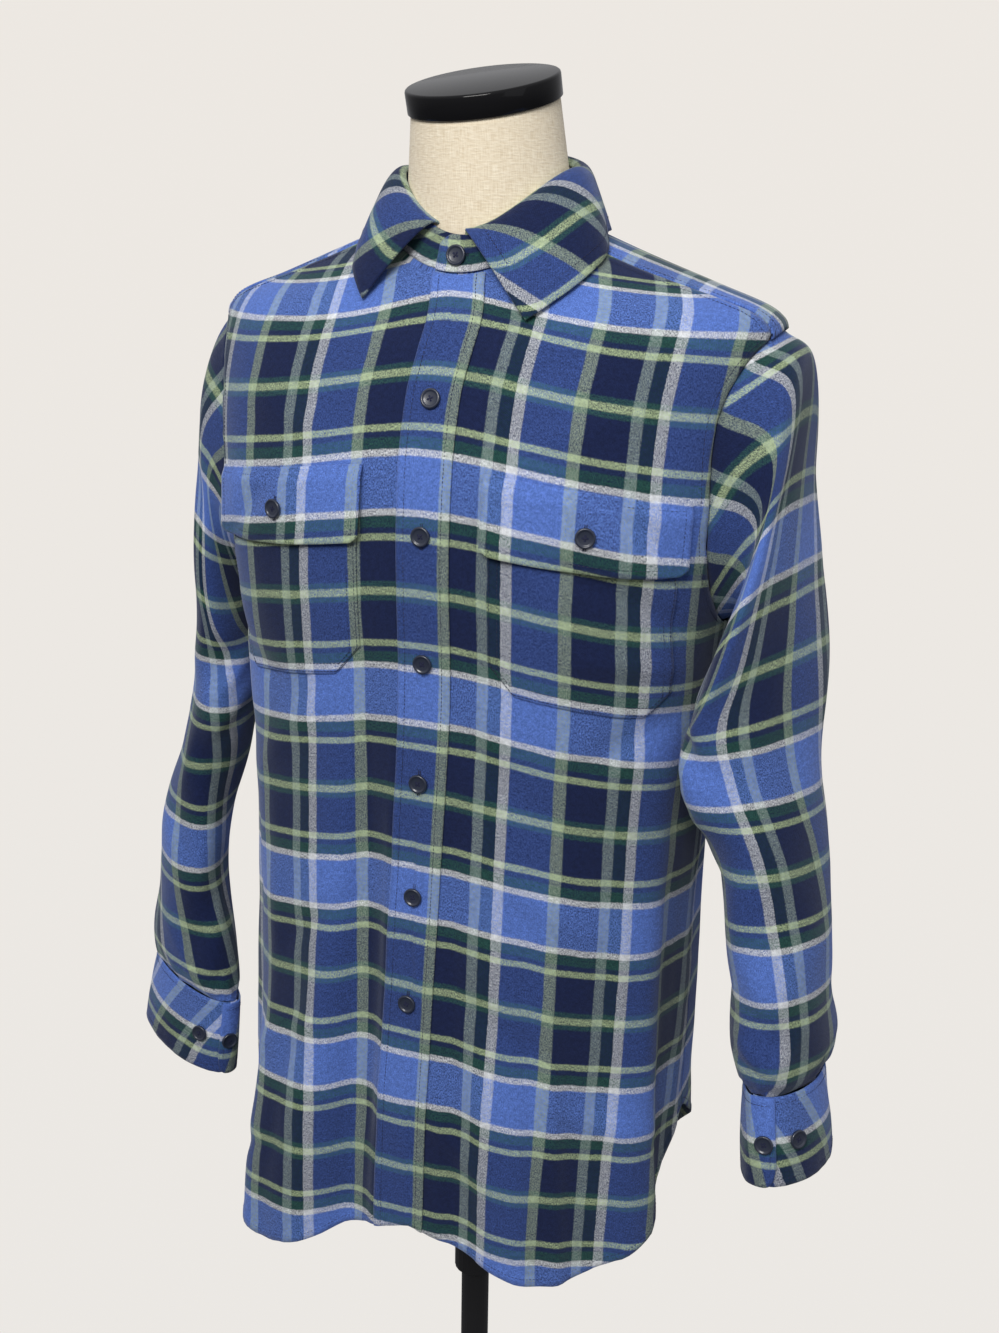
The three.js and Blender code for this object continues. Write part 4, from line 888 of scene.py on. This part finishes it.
def sectionPoint(section, side, around, grow=0.0, drop=0.0):
    outward, forward, down = sectionAxes(section)
    centre = np.stack([section["x"], section["y"], section["z"]], -1)
    around, grow, drop = np.broadcast_arrays(np.asarray(around, float), grow, drop)
    point = centre + down * drop[..., None]
    point = point + outward * ((section["thin"] + grow) * np.cos(np.radians(around)))[..., None]
    point = point + forward * ((section["broad"] + grow) * np.sin(np.radians(around)))[..., None]
    return point * np.array([side, 1, 1])


def sleevePoint(name, around, down):
    rows, side = sleeves[name], 1 if name == "left" else -1
    around, down = np.broadcast_arrays(np.asarray(around, float), np.asarray(down, float))
    last = len(rows["k"])
    section = lambda k: {key: rows[key][k] for key in rows}
    sections = [sectionPoint(section(k), side, around) for k in range(last)]
    stations = np.stack([armholePoint(side, around)] + sections)
    spot = np.clip(down, 0, 1) * last
    i = np.minimum(spot.astype(int), last - 1)
    t = (spot - i)[..., None]
    pick = lambda index: np.take_along_axis(stations, np.clip(index, 0, last)[None, ..., None], 0)[0]
    a, b = pick(i), pick(i + 1)
    slopeA = np.where((i > 0)[..., None], (b - pick(i - 1)) / 2, b - a)
    slopeB = np.where((i + 2 <= last)[..., None], (pick(i + 2) - a) / 2, b - a)
    point = a * (2 * t**3 - 3 * t**2 + 1) + slopeA * (t**3 - 2 * t**2 + t)
    point = point + b * (3 * t**2 - 2 * t**3) + slopeB * (t**3 - t**2)
    read = readTable(rows, np.maximum(0, spot - 1))
    axis = np.stack([side * read["x"], read["y"], read["z"]], -1)
    fade = smoothStep(0.06, 0.2, down) * (1 - smoothStep(0.93, 0.99, down))
    depth = np.zeros(around.shape)
    for at, place, wide, along, deep, slant in sleeveFolds + (armpitFold,) * (name == "left"):
        away = turned(around - at) / wide
        depth = depth + deep * np.exp(-away**2 - ((down - place - slant * away) / along)**2)
    return point + unit(point - axis) * (depth * fade)[..., None]


def sleeveNormal(name, around, down):
    side = 1 if name == "left" else -1
    across = sleevePoint(name, around + 0.6, down) - sleevePoint(name, around - 0.6, down)
    lower = sleevePoint(name, around, np.minimum(down + 0.003, 1))
    along = lower - sleevePoint(name, around, np.maximum(down - 0.003, 0))
    return unit(np.cross(across, along)) * -side


sleeveLong = 560


def sleeveRelief(name, around, down):
    x, y = turned(around) * 0.86, np.asarray(down, float) * sleeveLong
    soft = creases(sleeveCreases[name], x, y)
    soft = soft + 0.8 * noise(x / 40 + 7, y / 60) + 0.4 * noise(x / 17, y / 22 + 4)
    blouse = 1.5 * noise(x / 11 + 2, 0.4 + y / 90) * smoothStep(0.8, 0.96, down)
    return (soft + blouse) * smoothStep(0.0, 0.1, down) * (1 - smoothStep(0.965, 1, down))


def sleeveRaised(name, around, down, out):
    around, down = np.broadcast_arrays(np.asarray(around, float), np.asarray(down, float))
    out = np.asarray(out) + sleeveRelief(name, around, down)
    return sleevePoint(name, around, down) + sleeveNormal(name, around, down) * out[..., None]


def runLength(points, axis):
    steps = np.linalg.norm(np.diff(points, axis=axis), axis=-1)
    start = np.zeros_like(np.take(steps, [0], axis))
    return np.concatenate([start, np.cumsum(steps, axis)], axis)


cuffSize = {"depth": 66, "flare": 4, "lapFrom": 70, "lapTo": 104, "round": 16}


def cuffPoint(name, around, down, out):
    rows, side = sleeves[name], 1 if name == "left" else -1
    wrist = {key: rows[key][-1] for key in rows}
    grow = cuffSize["flare"] * np.sin(down * 1.5)
    return sectionPoint(wrist, side, around, grow + out, cloth["gap"] + down * cuffSize["depth"])


# Averages a grid over its neighbours, so the plaid's lines run straight past the folds.
def evened(grid, reach, axis):
    weights = np.exp(-(np.arange(-2 * reach, 2 * reach + 1) / reach)**2)
    pad = [(0, 0), (0, 0)]
    pad[axis] = (2 * reach, 2 * reach)
    padded = np.pad(grid, pad, mode="reflect", reflect_type="odd")
    return np.apply_along_axis(lambda line: np.convolve(line, weights / weights.sum(), "valid"), axis, padded)


for name in ("left", "right"):
    around = np.linspace(-180, 180, 121)[None, :]
    down = np.concatenate([np.linspace(0, 0.04, 5)[:-1], np.linspace(0.04, 1, 170)])[:, None]
    middle = sleevePoint(name, around, down)
    along = runLength(middle, 0)
    across = runLength(middle, 1)
    across = across - across[:, 60:61]
    cap = pucker(along, across, 0.6, 7)
    hemmed = pucker(along[-1] - along, across, 0.9, 9)
    inner = sleeveRaised(name, around, down, cloth["inner"] + cap + hemmed)
    outer = sleeveRaised(name, around, down, cloth["outer"] + cap + hemmed)
    uv = np.stack([evened(across, 26, 0), evened(along - along[-1:], 26, 1)], -1)
    solid = f"sleeve_{name}"
    sleeve = shell(f"shirt_sleeve_{name}", inner, outer, uv, panelCloth[solid], replaces=[solid])

    # cuff: an open band, its rounded front end lapped over the other
    share, rise = np.linspace(0, 1, 110)[None, :], np.linspace(0, 1, 24)[:, None]
    around = mix(cuffSize["lapFrom"], cuffSize["lapTo"] + 360, share)
    lapped = 1 - smoothStep(cuffSize["lapTo"], cuffSize["lapTo"] + 30, around)
    fromEnd = np.maximum(0, 1 - (around - cuffSize["lapFrom"]) / cuffSize["round"])
    bottom = 1 - 0.24 * (1 - np.sqrt(1 - fromEnd**2))
    place = rise * bottom
    out = lapped * bandBase + 0.5 * noise(around / 24, rise * 3 + 2) + 0.3 * noise(around / 7, rise * 2)
    fromEdge = np.minimum(rise, 1 - rise) * cuffSize["depth"] + 0 * around
    out = out - 0.25 * np.exp(-((fromEdge - 5) / 0.9)**2)
    inner, outer = cuffPoint(name, around, place, out + 0.2), cuffPoint(name, around, place, out + 1.6)
    uv = np.stack([runLength(inner, 1), place * cuffSize["depth"]], -1)
    cuff = shell(f"shirt_cuff_{name}", inner, outer, uv, panelCloth["cuff"], [f"cuff_{name}"])
    for drop in (0.08, 0.92):
        where = np.linspace(cuffSize["lapFrom"] + 8, cuffSize["lapTo"] + 352, 200)
        lap = (1 - smoothStep(cuffSize["lapTo"], cuffSize["lapTo"] + 30, where)) * bandBase
        path = cuffPoint(name, where, np.full_like(where, drop), lap + 1.6)
        stitch(path, unit(path - cuffPoint(name, where, np.full_like(where, drop), lap - 3)))
    for turn in (cuffSize["lapFrom"] + 7,):
        drop = np.linspace(0.06, 0.9, 40)
        path = cuffPoint(name, np.full_like(drop, turn), drop, bandBase + 1.6)
        stitch(path, unit(path - cuffPoint(name, np.full_like(drop, turn), drop, bandBase - 3)))

    # sleeve placket: a square-topped strip above the cuff
    strip = {"around": 62, "width": 24, "top": 0.8, "bottom": 0.97}
    place = np.linspace(strip["top"], strip["bottom"], 44)[:, None]
    where = strip["around"] + (np.linspace(0, 1, 12)[None, :] - 0.5) * strip["width"]
    base = cloth["wall"] + 0.15
    inner, outer = sleeveRaised(name, where, place, base + 0.05), sleeveRaised(name, where, place, base + 1.1)
    uv = np.stack([runLength(inner, 1), runLength(inner, 0)], -1)
    placket = shell(f"shirt_sleeve_placket_{name}", inner, outer, uv, panelCloth["cuff"],
                    [f"sleeve_placket_{name}"])
    for edge in (-0.36, 0.36):
        drop = np.linspace(strip["top"] + 0.006, strip["bottom"], 60)
        turn = np.full_like(drop, strip["around"] + edge * strip["width"])
        stitch(sleeveRaised(name, turn, drop, base + 1.05), sleeveNormal(name, turn, drop))
print("sleeves made")

# Collar

standTop = {"half": 61, "fore": 54, "aft": 57, "front": 1453, "side": 1493, "back": 1505}
leafEdge = {
    1: table(("place", "angle", "ring"), (
        (0, 32, 1405), (0.2, 46, 1421), (0.4, 64, 1438), (0.6, 88, 1452), (0.8, 132, 1450), (1, 180, 1448))),
    -1: table(("place", "angle", "ring"), (
        (0, 41, 1414), (0.2, 51, 1430), (0.4, 62, 1444), (0.6, 88, 1454), (0.8, 132, 1451), (1, 180, 1448))),
}
leafFrom = {"left": 4, "right": 20}
collarLap = {"from": -13, "to": 372, "full": 13, "none": 34}


def standTopPoint(angle):
    across, forward = np.sin(np.radians(angle)), np.cos(np.radians(angle))
    depth = np.where(forward > 0, standTop["fore"], standTop["aft"])
    radius = 1 / np.hypot(across / standTop["half"], forward / depth)
    end = np.where(forward > 0, standTop["front"], standTop["back"])
    height = standTop["side"] + (end - standTop["side"]) * forward**2
    return np.stack([radius * across, -radius * forward, height], -1)


def outwardAt(angle):
    return np.stack([np.sin(np.radians(angle)), -np.cos(np.radians(angle)), 0 * angle], -1)


def standPoint(angle, up, out):
    ring = np.full_like(angle, neckRing)
    foot = bodyPoint(angle, ring)
    lift = cloth["gap"] + cloth["wall"] * np.maximum(0, bodyNormal(angle, ring)[..., 2])
    foot = foot + np.stack([0 * lift, 0 * lift, lift], -1)
    return mix(foot, standTopPoint(angle), up[..., None]) + outwardAt(angle) * np.asarray(out)[..., None]


share, rise = np.linspace(0, 1, 150)[None, :], np.linspace(0, 1, 20)[:, None]
angle = mix(collarLap["from"], collarLap["to"], share) + 0 * rise
lapped = 1 - smoothStep(collarLap["full"], collarLap["none"], angle)
lower = np.maximum(0, 1 - np.minimum(angle - collarLap["from"], collarLap["to"] - angle) / 9)
up = rise * (1 - 0.3 * lower**2)
out = lapped * bandBase + 0.3 * noise(angle / 9, rise * 2)
inner, outer = standPoint(angle, up, out + 0.2), standPoint(angle, up, out + 1.5)
uv = np.stack([runLength(inner, 1), runLength(inner, 0)], -1)
standPiece = shell("shirt_collar_stand", inner, outer, uv, panelCloth["stand"], replaces=["collar_stand"])


# The leaf rises from the stand's top, rolls over and lies on the shirt.
def leafPoint(side, place, t, out=0.0):
    angle = side * mix(np.where(side > 0, leafFrom["left"], leafFrom["right"]), 180, place)
    left, right = readTable(leafEdge[1], place), readTable(leafEdge[-1], place)
    edgeAngle = np.where(side > 0, left["angle"], -right["angle"])
    edgeRing = np.where(side > 0, left["ring"], right["ring"])
    fold, outward = standTopPoint(angle), outwardAt(angle)
    lapped = np.where(side > 0, 1 - smoothStep(collarLap["full"], collarLap["none"], angle), 0)
    start = fold + outward * (lapped * bandBase)[..., None] + np.array([0, 0, 1.4])
    crest = fold + outward * 9.5 + np.stack([0 * angle, 0 * angle, (3.5 + 3 * place) * 2.6], -1)
    end = bodyPoint(edgeAngle, edgeRing) + bodyNormal(edgeAngle, edgeRing) * (cloth["wall"] + 2.6)
    t = t[..., None]
    return start * (1 - t)**2 + crest * 2 * t * (1 - t) + end * t**2


def leafSurface(s, t):
    s, t = np.broadcast_arrays(np.asarray(s, float), np.asarray(t, float))
    side, place = np.where(s > 0, 1, -1), 1 - np.abs(s)
    return leafPoint(side, place, t)


def leafNormal(s, t):
    across = leafSurface(np.clip(s + 0.002, -1, 1), t) - leafSurface(np.clip(s - 0.002, -1, 1), t)
    down = leafSurface(s, np.minimum(t + 0.01, 1)) - leafSurface(s, np.maximum(t - 0.01, 0))
    normal = unit(np.cross(across, down))
    facing = leafSurface(s, t) - np.array([0, 0, 1400])
    return normal * np.sign(np.sum(normal * facing, -1, keepdims=True))


share, fall = np.linspace(1, -1, 241)[None, :], np.linspace(0, 1, 36)[:, None]
base = leafSurface(share, fall)
normal = leafNormal(share, fall)
across = runLength(base, 1)
across = across - across[:, 120:121]
width = runLength(base, 0)
fromEdge = np.minimum(width[-1:] - width, (across[:, :1] * np.sign(across[:, :1]) - np.abs(across)))
relief = 0.5 * noise(across / 30, width / 26) - 0.3 * np.exp(-((fromEdge - 5.5) / 0.9)**2)
relief = relief + pucker(fromEdge - 3, across, 0.3, 5)
inner = base + normal * (0.3 + relief)[..., None]
outer = base + normal * (2.1 + relief)[..., None]
leafCloth = np.stack([across, width], -1)
leafPiece = shell("shirt_collar_leaf", inner, outer, leafCloth, panelCloth["collar"], replaces=["collar"])
along = np.linspace(0.94, -0.94, 300)
stitch(leafSurface(along, np.full_like(along, 0.92)) + leafNormal(along, np.full_like(along, 0.92)) * 2.0,
       leafNormal(along, np.full_like(along, 0.92)))
for end in (0.94, -0.94):
    drop = np.linspace(0.1, 0.92, 60)
    where = np.full_like(drop, end)
    stitch(leafSurface(where, drop) + leafNormal(where, drop) * 2.0, leafNormal(where, drop))
print("collar made")

# Buttons and buttonholes

button = {"radius": 6.9, "thick": 2.6, "dish": 0.95, "rim": 1.5, "hole": 0.85, "holeSpread": 1.55}
buttonMaterial, _, buttonShader = newMaterial("dark button", 0.32)
buttonShader.inputs["Base Color"].default_value = srgb(38, 44, 60)
buttonShader.inputs["Coat Weight"].default_value = 0.25
# Dark discs in the button's thread holes: painted shade standing in for the holes' depth, in the navy of the
# thread.
holeShadeMaterial, _, holeShadeShader = newMaterial("painted hole shade", 0.85)
holeShadeShader.inputs["Base Color"].default_value = srgb(20, 26, 56)


def lathe(profile, count):
    profile = np.array(profile, float)
    turn = np.linspace(0, 2 * np.pi, count, endpoint=False)
    points = np.stack([profile[:, :1] * np.cos(turn), profile[:, :1] * np.sin(turn),
                       np.repeat(profile[:, 1:], count, 1)], -1).reshape(-1, 3)
    grid = np.arange(len(points)).reshape(len(profile), count)
    grid = np.concatenate([grid, grid[:, :1]], 1)
    return points, gridFaces(grid)


def placement(point, normal, lean=0.0):
    across = unit(np.cross([0.0, 0.0, 1.0], normal))
    up = np.cross(normal, across)
    turnedAcross = across * math.cos(lean) + up * math.sin(lean)
    return np.stack([turnedAcross, np.cross(normal, turnedAcross), normal], 0), point


r, t = button["radius"], button["thick"]
floor = t - button["dish"]
buttonProfile = [(0.001, 0), (r - 1.1, 0), (r - 0.35, 0.35), (r, 1.1), (r - 0.02, t - 0.75),
                 (r - 0.35, t - 0.2), (r - 0.9, t), (r - button["rim"], t - 0.12),
                 (r - button["rim"] - 0.5, floor + 0.15), (r - button["rim"] - 1.1, floor), (0.001, floor)]
buttonPoints, buttonFaces = lathe(buttonProfile, 40)


def addButton(name, point, normal, lean=0.0):
    place, rest = name.split("_button_") if "_button_" in name else (name, "")
    solid = f"button_{place}_{rest}"
    facing, at = placement(point, normal, lean)
    faces = buttonFaces.tolist()
    points = [buttonPoints]
    count = len(buttonPoints)
    marks = [0] * len(faces)
    # four thread holes, each a dark cup painted in as the holes' shade, in the thread's navy, and thread
    # crossing between them
    for k in range(4):
        turn = math.pi / 4 + k * math.pi / 2
        hole, spread = button["hole"], button["holeSpread"]
        cup = [(hole, floor + 0.03), (hole * 0.8, floor + 0.05), (0.001, floor + 0.06)]
        cupPoints, cupFaces = lathe(cup, 14)
        cupPoints = cupPoints + [spread * math.cos(turn), spread * math.sin(turn), 0]
        faces += (cupFaces + count).tolist()
        marks += [1] * len(cupFaces)
        count += len(cupPoints)
        points.append(cupPoints)
    placed = np.concatenate(points) @ facing + at
    made = newObject(name, placed, faces, buttonMaterial, replaces=[solid])
    made.data.materials.append(holeShadeMaterial)
    made.data.polygons.foreach_set("material_index", marks)
    for k in range(2):
        turn = math.pi / 4 + k * math.pi / 2
        way = np.array([math.cos(turn), math.sin(turn)]) * button["holeSpread"]
        for shift in (-0.16, 0.16):
            t = np.linspace(-1, 1, 9)
            side = np.array([-math.sin(turn), math.cos(turn)]) * shift
            path = np.stack([way[0] * t + side[0], way[1] * t + side[1], floor + 0.15 + 0.35 * (1 - t**2)], 1)
            path = path @ facing + at
            stitch(path, np.repeat(normal[None, :], 9, 0), pitch=0.62, long=0.9, radius=0.2)


# A buttonhole: close crosswise stitches on both sides of a slit.
def buttonhole(points, normals, half=1.0):
    for side in (-1, 1):
        lengths = np.concatenate([[0], np.cumsum(np.linalg.norm(np.diff(points, axis=0), axis=1))])
        for at in np.arange(0, lengths[-1], 0.5):
            centre = np.array([np.interp(at, lengths, points[:, k]) for k in range(3)])
            normal = unit(np.array([np.interp(at, lengths, normals[:, k]) for k in range(3)]))
            way = unit(points[-1] - points[0])
            across = np.cross(way, normal)
            t = np.linspace(0.15, half + 0.25, 3)[:, None] * side
            stitch(centre + across * t, np.repeat(normal[None, :], 3, 0), pitch=half, long=half, radius=0.24)


frontButtons = (1341, 1232, 1143, 1055, 967, 882)
standOut = 2 * cloth["wall"] + cloth["air"] + 1.1
standSpot = standPoint(np.array([0.0]), np.array([0.46]), np.array([standOut]))[0]
addButton("front_button_1", standSpot, unit(np.array([0, -0.95, 0.18])), 0.2)
slit = np.linspace(-8.5, 8.5, 12) / 1.1
slitUp = np.full_like(slit, 0.47)
slitOut = np.full_like(slit, bandBase + 1.5)
slitPoints = standPoint(slit, slitUp, slitOut)
buttonhole(slitPoints, unit(outwardAt(slit) + [0, 0, 0.2]))
for i, ring in enumerate(frontButtons):
    ring = float(ring)
    angle = angleAt(ring, band["set"] + float(bandDrift(ring)))
    spot = bodyRaised(angle, np.array(ring), 2 * cloth["wall"] + cloth["air"] + 0.45)
    addButton(f"front_button_{i + 2}", spot, bodyNormal(angle, np.array(ring)), rand.uniform(-0.5, 0.5))
    rings = np.linspace(ring - 9.5, ring + 9.5, 14)
    angles = angleAt(rings, band["set"] + bandDrift(rings))
    buttonhole(bodyRaised(angles, rings, np.full_like(rings, bandBase + 1.3)), bodyNormal(angles, rings))
for side, name in ((1, "left"), (-1, "right")):
    ring = mix(flap["top"], flap["bottom"], 0.52)
    across = side * (pocket["inner"] + 0.5 * pocket["width"])
    angle = angleAt(ring, across)
    out = float(flapOut(np.array(0.52))) + cloth["wall"] + 0.6
    spot = bodyRaised(angle, np.array(ring), out)
    addButton(f"pocket_button_{name}", spot, bodyNormal(angle, np.array(ring)), 0.7)
    rings = np.linspace(ring - 9, ring + 9, 14)
    angles = angleAt(rings, across)
    outs = flapOut((flap["top"] - rings) / (flap["top"] - flap["bottom"])) + 1.45
    buttonhole(bodyRaised(angles, rings, outs), bodyNormal(angles, rings))
    for k, (turn, out) in enumerate(((cuffSize["lapFrom"] + 14, bandBase), (cuffSize["lapFrom"] - 26, 0))):
        one = lambda a, d: cuffPoint(name, np.array(float(a)), np.array(float(d)), out + cloth["wall"])
        point = one(turn, 0.5)
        normal = unit(np.cross(one(turn + 2, 0.5) - point, one(turn, 0.6) - point))
        inward = cuffPoint(name, np.array(float(turn)), np.array(0.5), -8.0) - point
        normal = normal if np.dot(normal, inward) < 0 else -normal
        addButton(f"cuff_button_{name}_{k + 1}", point + normal * 0.85, normal, 0.4)
print("buttons made")

newObject("stitching", np.concatenate(threadPoints),
          [face for block in threadFaces for face in block.tolist()], threadMaterial)

# The form and its stand

formFloor = 836
neckHead = {"x": -1, "y": -10, "z": 1538, "radius": 51.5, "forward": 15, "aside": 3}
neckCap = {"radius": 53.5, "thick": 16}

linen, linenTree, linenShader = newMaterial("slubby linen", 0.9)
linenShader.inputs["Specular IOR Level"].default_value = 0.2
linenShader.inputs["Sheen Weight"].default_value = 0.15
place = node(linenTree, "ShaderNodeUVMap", uv_map="cloth")
slubWaves = []
for stretch in ((900, 90, 1), (90, 900, 1)):
    scaled = node(linenTree, "ShaderNodeVectorMath", operation="MULTIPLY")
    scaled.inputs[1].default_value = stretch
    slub = node(linenTree, "ShaderNodeTexNoise")
    slub.inputs["Scale"].default_value = 1
    slub.inputs["Detail"].default_value = 4
    link(linenTree, place.outputs[0], scaled.inputs[0])
    link(linenTree, scaled.outputs[0], slub.inputs["Vector"])
    slubWaves.append(slub.outputs["Fac"])
slubs = arithmetic(linenTree, "ADD", slubWaves[0], slubWaves[1])
tone = node(linenTree, "ShaderNodeValToRGB")
tone.color_ramp.elements[0].position, tone.color_ramp.elements[0].color = 0.32, srgb(216, 199, 170)
tone.color_ramp.elements[1].position, tone.color_ramp.elements[1].color = 0.68, srgb(250, 240, 218)
link(linenTree, arithmetic(linenTree, "MULTIPLY", slubs, 0.5), tone.inputs[0])
link(linenTree, tone.outputs[0], linenShader.inputs["Base Color"])
bump = node(linenTree, "ShaderNodeBump")
bump.inputs["Strength"].default_value = 0.5
bump.inputs["Distance"].default_value = 0.0006
link(linenTree, slubs, bump.inputs["Height"])
link(linenTree, bump.outputs[0], linenShader.inputs["Normal"])

capBlack, _, capShader = newMaterial("glossy black cap", 0.08)
capShader.inputs["Base Color"].default_value = (0.008, 0.008, 0.009, 1)
capShader.inputs["Specular IOR Level"].default_value = 0.16
standBlack, standTree, standShader = newMaterial("black powder coat", 0.32)
standShader.inputs["Base Color"].default_value = (0.012, 0.012, 0.013, 1)
grain = node(standTree, "ShaderNodeTexNoise")
grain.inputs["Scale"].default_value = 900
grainBump = node(standTree, "ShaderNodeBump")
grainBump.inputs["Strength"].default_value = 0.12
grainBump.inputs["Distance"].default_value = 0.0002
link(standTree, grain.outputs["Fac"], grainBump.inputs["Height"])
link(standTree, grainBump.outputs[0], standShader.inputs["Normal"])

capFrame = (Matrix.Rotation(math.radians(neckHead["forward"]), 4, "X")
            @ Matrix.Rotation(-math.radians(neckHead["aside"]), 4, "Y"))
capTurn = np.array(capFrame.to_3x3())
capCentre = np.array([neckHead["x"], neckHead["y"], neckHead["z"]])


def formInset(ring):
    return mix(21, 4.6, smoothStep(1080, 1400, ring))


angles = np.linspace(0, 360, 97)
formRows = []
for up in np.concatenate([[0.0, 1, 3, 6, 10], np.linspace(14, 610, 90)]):
    ring = np.full_like(angles, formFloor - 14 + up)
    point = bodyPoint(angles, ring)
    roundOff = 8 * (1 - math.sqrt(1 - (1 - min(up, 10) / 10)**2)) if up < 10 else 0
    point = point - outwardAt(angles) * (foldDepth(angles, ring) + formInset(ring) + roundOff)[..., None]
    point[:, 0] -= readTable(bodyRings, ring)["shift"] * (1 - smoothStep(1150, 1390, ring))
    point[:, 2] = mix(formFloor + up, point[:, 2] - 2, smoothStep(1150, 1390, ring))
    formRows.append(point)
neckFoot = bodyPoint(angles, np.full_like(angles, neckRing))
head = outwardAt(angles) * neckHead["radius"] @ capTurn.T + capCentre
formRows.append(neckFoot - outwardAt(angles) * 8 + [0, 0, -6])
formRows.append(neckFoot - outwardAt(angles) * 10 + [0, 0, 8])
for t in np.linspace(0.06, 1, 24):
    formRows.append(mix(neckFoot - outwardAt(angles) * 11 + [0, 0, 8], head, t))
form = np.array(formRows)
count = form.shape[0] * form.shape[1]
faces = gridFaces(np.arange(count).reshape(form.shape[:2])).tolist()
points = np.concatenate([form.reshape(-1, 3), [form[0].mean(0)], [form[-1].mean(0)]])
for j in range(len(angles) - 1):
    faces.append([count, j + 1, j])
    faces.append([count + 1, count - len(angles) + j, count - len(angles) + j + 1])
uv = np.stack([np.broadcast_to(angles * 1.9, form.shape[:2]), form[..., 2]], -1).reshape(-1, 2)
uv = np.concatenate([uv, [[0, 0], [0, 0]]])
newObject("dress_form", points, faces, linen, uv, ["form_torso"])

r, t = neckCap["radius"], neckCap["thick"]
capProfile = [(0.001, 0), (r - 0.6, 0), (r, 0.6), (r, t - 2), (r - 0.3, t - 0.9), (r - 1, t - 0.25),
              (r - 2, t), (0.001, t)]
points, faces = lathe(capProfile, 128)
points = (points + [0, 0, cloth["gap"]]) @ capTurn.T + capCentre
newObject("neck_cap", points, faces.tolist(), capBlack, None, ["form_neck_cap"])

for name in ("stand_upper_rod", "stand_lower_tube", "stand_clamp_collar", "stand_knob", "stand_base"):
    made = bpy.data.objects[name]
    made.data.materials.clear()
    made.data.materials.append(standBlack)
print("form and stand made")

# Camera and light

shot = {"lens": 27.0, "pitch": 17.5, "azimuth": 20, "away": 1.1, "height": 1.48, "aside": 0.012, "roll": 1.0}
camera = bpy.data.objects.new("camera", bpy.data.cameras.new("camera"))
bpy.context.scene.collection.objects.link(camera)
camera.data.sensor_fit = "VERTICAL"
camera.data.sensor_height = 24
camera.data.lens = shot["lens"]
azimuth = math.radians(shot["azimuth"])
right = Vector((math.cos(azimuth), math.sin(azimuth), 0))
camera.location = (math.sin(azimuth) * shot["away"], -math.cos(azimuth) * shot["away"], shot["height"])
camera.location += right * shot["aside"]
camera.rotation_mode = "QUATERNION"
level = Matrix.Rotation(azimuth, 3, "Z") @ Matrix.Rotation(math.radians(90 - shot["pitch"]), 3, "X")
camera.rotation_quaternion = (level @ Matrix.Rotation(math.radians(shot["roll"]), 3, "Z")).to_quaternion()
bpy.context.scene.camera = camera

view = bpy.context.scene.view_settings
view.view_transform, view.look, view.exposure = "Standard", "None", 0.0

world = bpy.data.worlds.new("studio")
bpy.context.scene.world = world
world.use_nodes = True
sky = world.node_tree
backdrop = sky.nodes["Background"]
direction = node(sky, "ShaderNodeTexCoord")
splitSky = node(sky, "ShaderNodeSeparateXYZ")
link(sky, direction.outputs["Generated"], splitSky.inputs[0])
shade = node(sky, "ShaderNodeValToRGB")
shade.color_ramp.elements[0].position, shade.color_ramp.elements[0].color = 0.1, srgb(235, 232, 228)
shade.color_ramp.elements[1].position, shade.color_ramp.elements[1].color = 0.62, srgb(237, 232, 226)
link(sky, arithmetic(sky, "MULTIPLY_ADD", splitSky.outputs[2], 0.5, 0.5), shade.inputs[0])
link(sky, shade.outputs[0], backdrop.inputs["Color"])
ambient = node(sky, "ShaderNodeBackground")
glow = node(sky, "ShaderNodeValToRGB")
glow.color_ramp.elements[0].position, glow.color_ramp.elements[0].color = 0.3, (0.14, 0.14, 0.15, 1)
glow.color_ramp.elements[1].position, glow.color_ramp.elements[1].color = 0.85, (0.86, 0.86, 0.88, 1)
link(sky, arithmetic(sky, "MULTIPLY_ADD", splitSky.outputs[2], 0.5, 0.5), glow.inputs[0])
link(sky, glow.outputs[0], ambient.inputs["Color"])
ambient.inputs["Strength"].default_value = 0.7
seen = node(sky, "ShaderNodeLightPath")
choose = node(sky, "ShaderNodeMixShader")
link(sky, seen.outputs["Is Camera Ray"], choose.inputs[0])
link(sky, ambient.outputs[0], choose.inputs[1])
link(sky, backdrop.outputs[0], choose.inputs[2])
link(sky, choose.outputs[0], sky.nodes["World Output"].inputs["Surface"])


def areaLight(name, place, aim, power, size, colour=(1, 1, 1)):
    light = bpy.data.lights.new(name, "AREA")
    light.energy = power
    light.shape = "RECTANGLE"
    light.size, light.size_y = size
    light.color = colour
    obj = bpy.data.objects.new(name, light)
    bpy.context.scene.collection.objects.link(obj)
    obj.location = place
    obj.rotation_mode = "QUATERNION"
    obj.rotation_quaternion = (Vector(aim) - Vector(place)).to_track_quat("-Z", "Y")
    return obj


areaLight("key", (0.15, -2.0, 2.7), (0.05, 0, 1.25), 51, (1.3, 0.8), (1, 0.98, 0.95))
areaLight("fill", (2.2, -1.0, 1.7), (0, 0, 1.1), 3, (1.4, 1.4), (0.95, 0.97, 1))

bpy.context.view_layer.update()
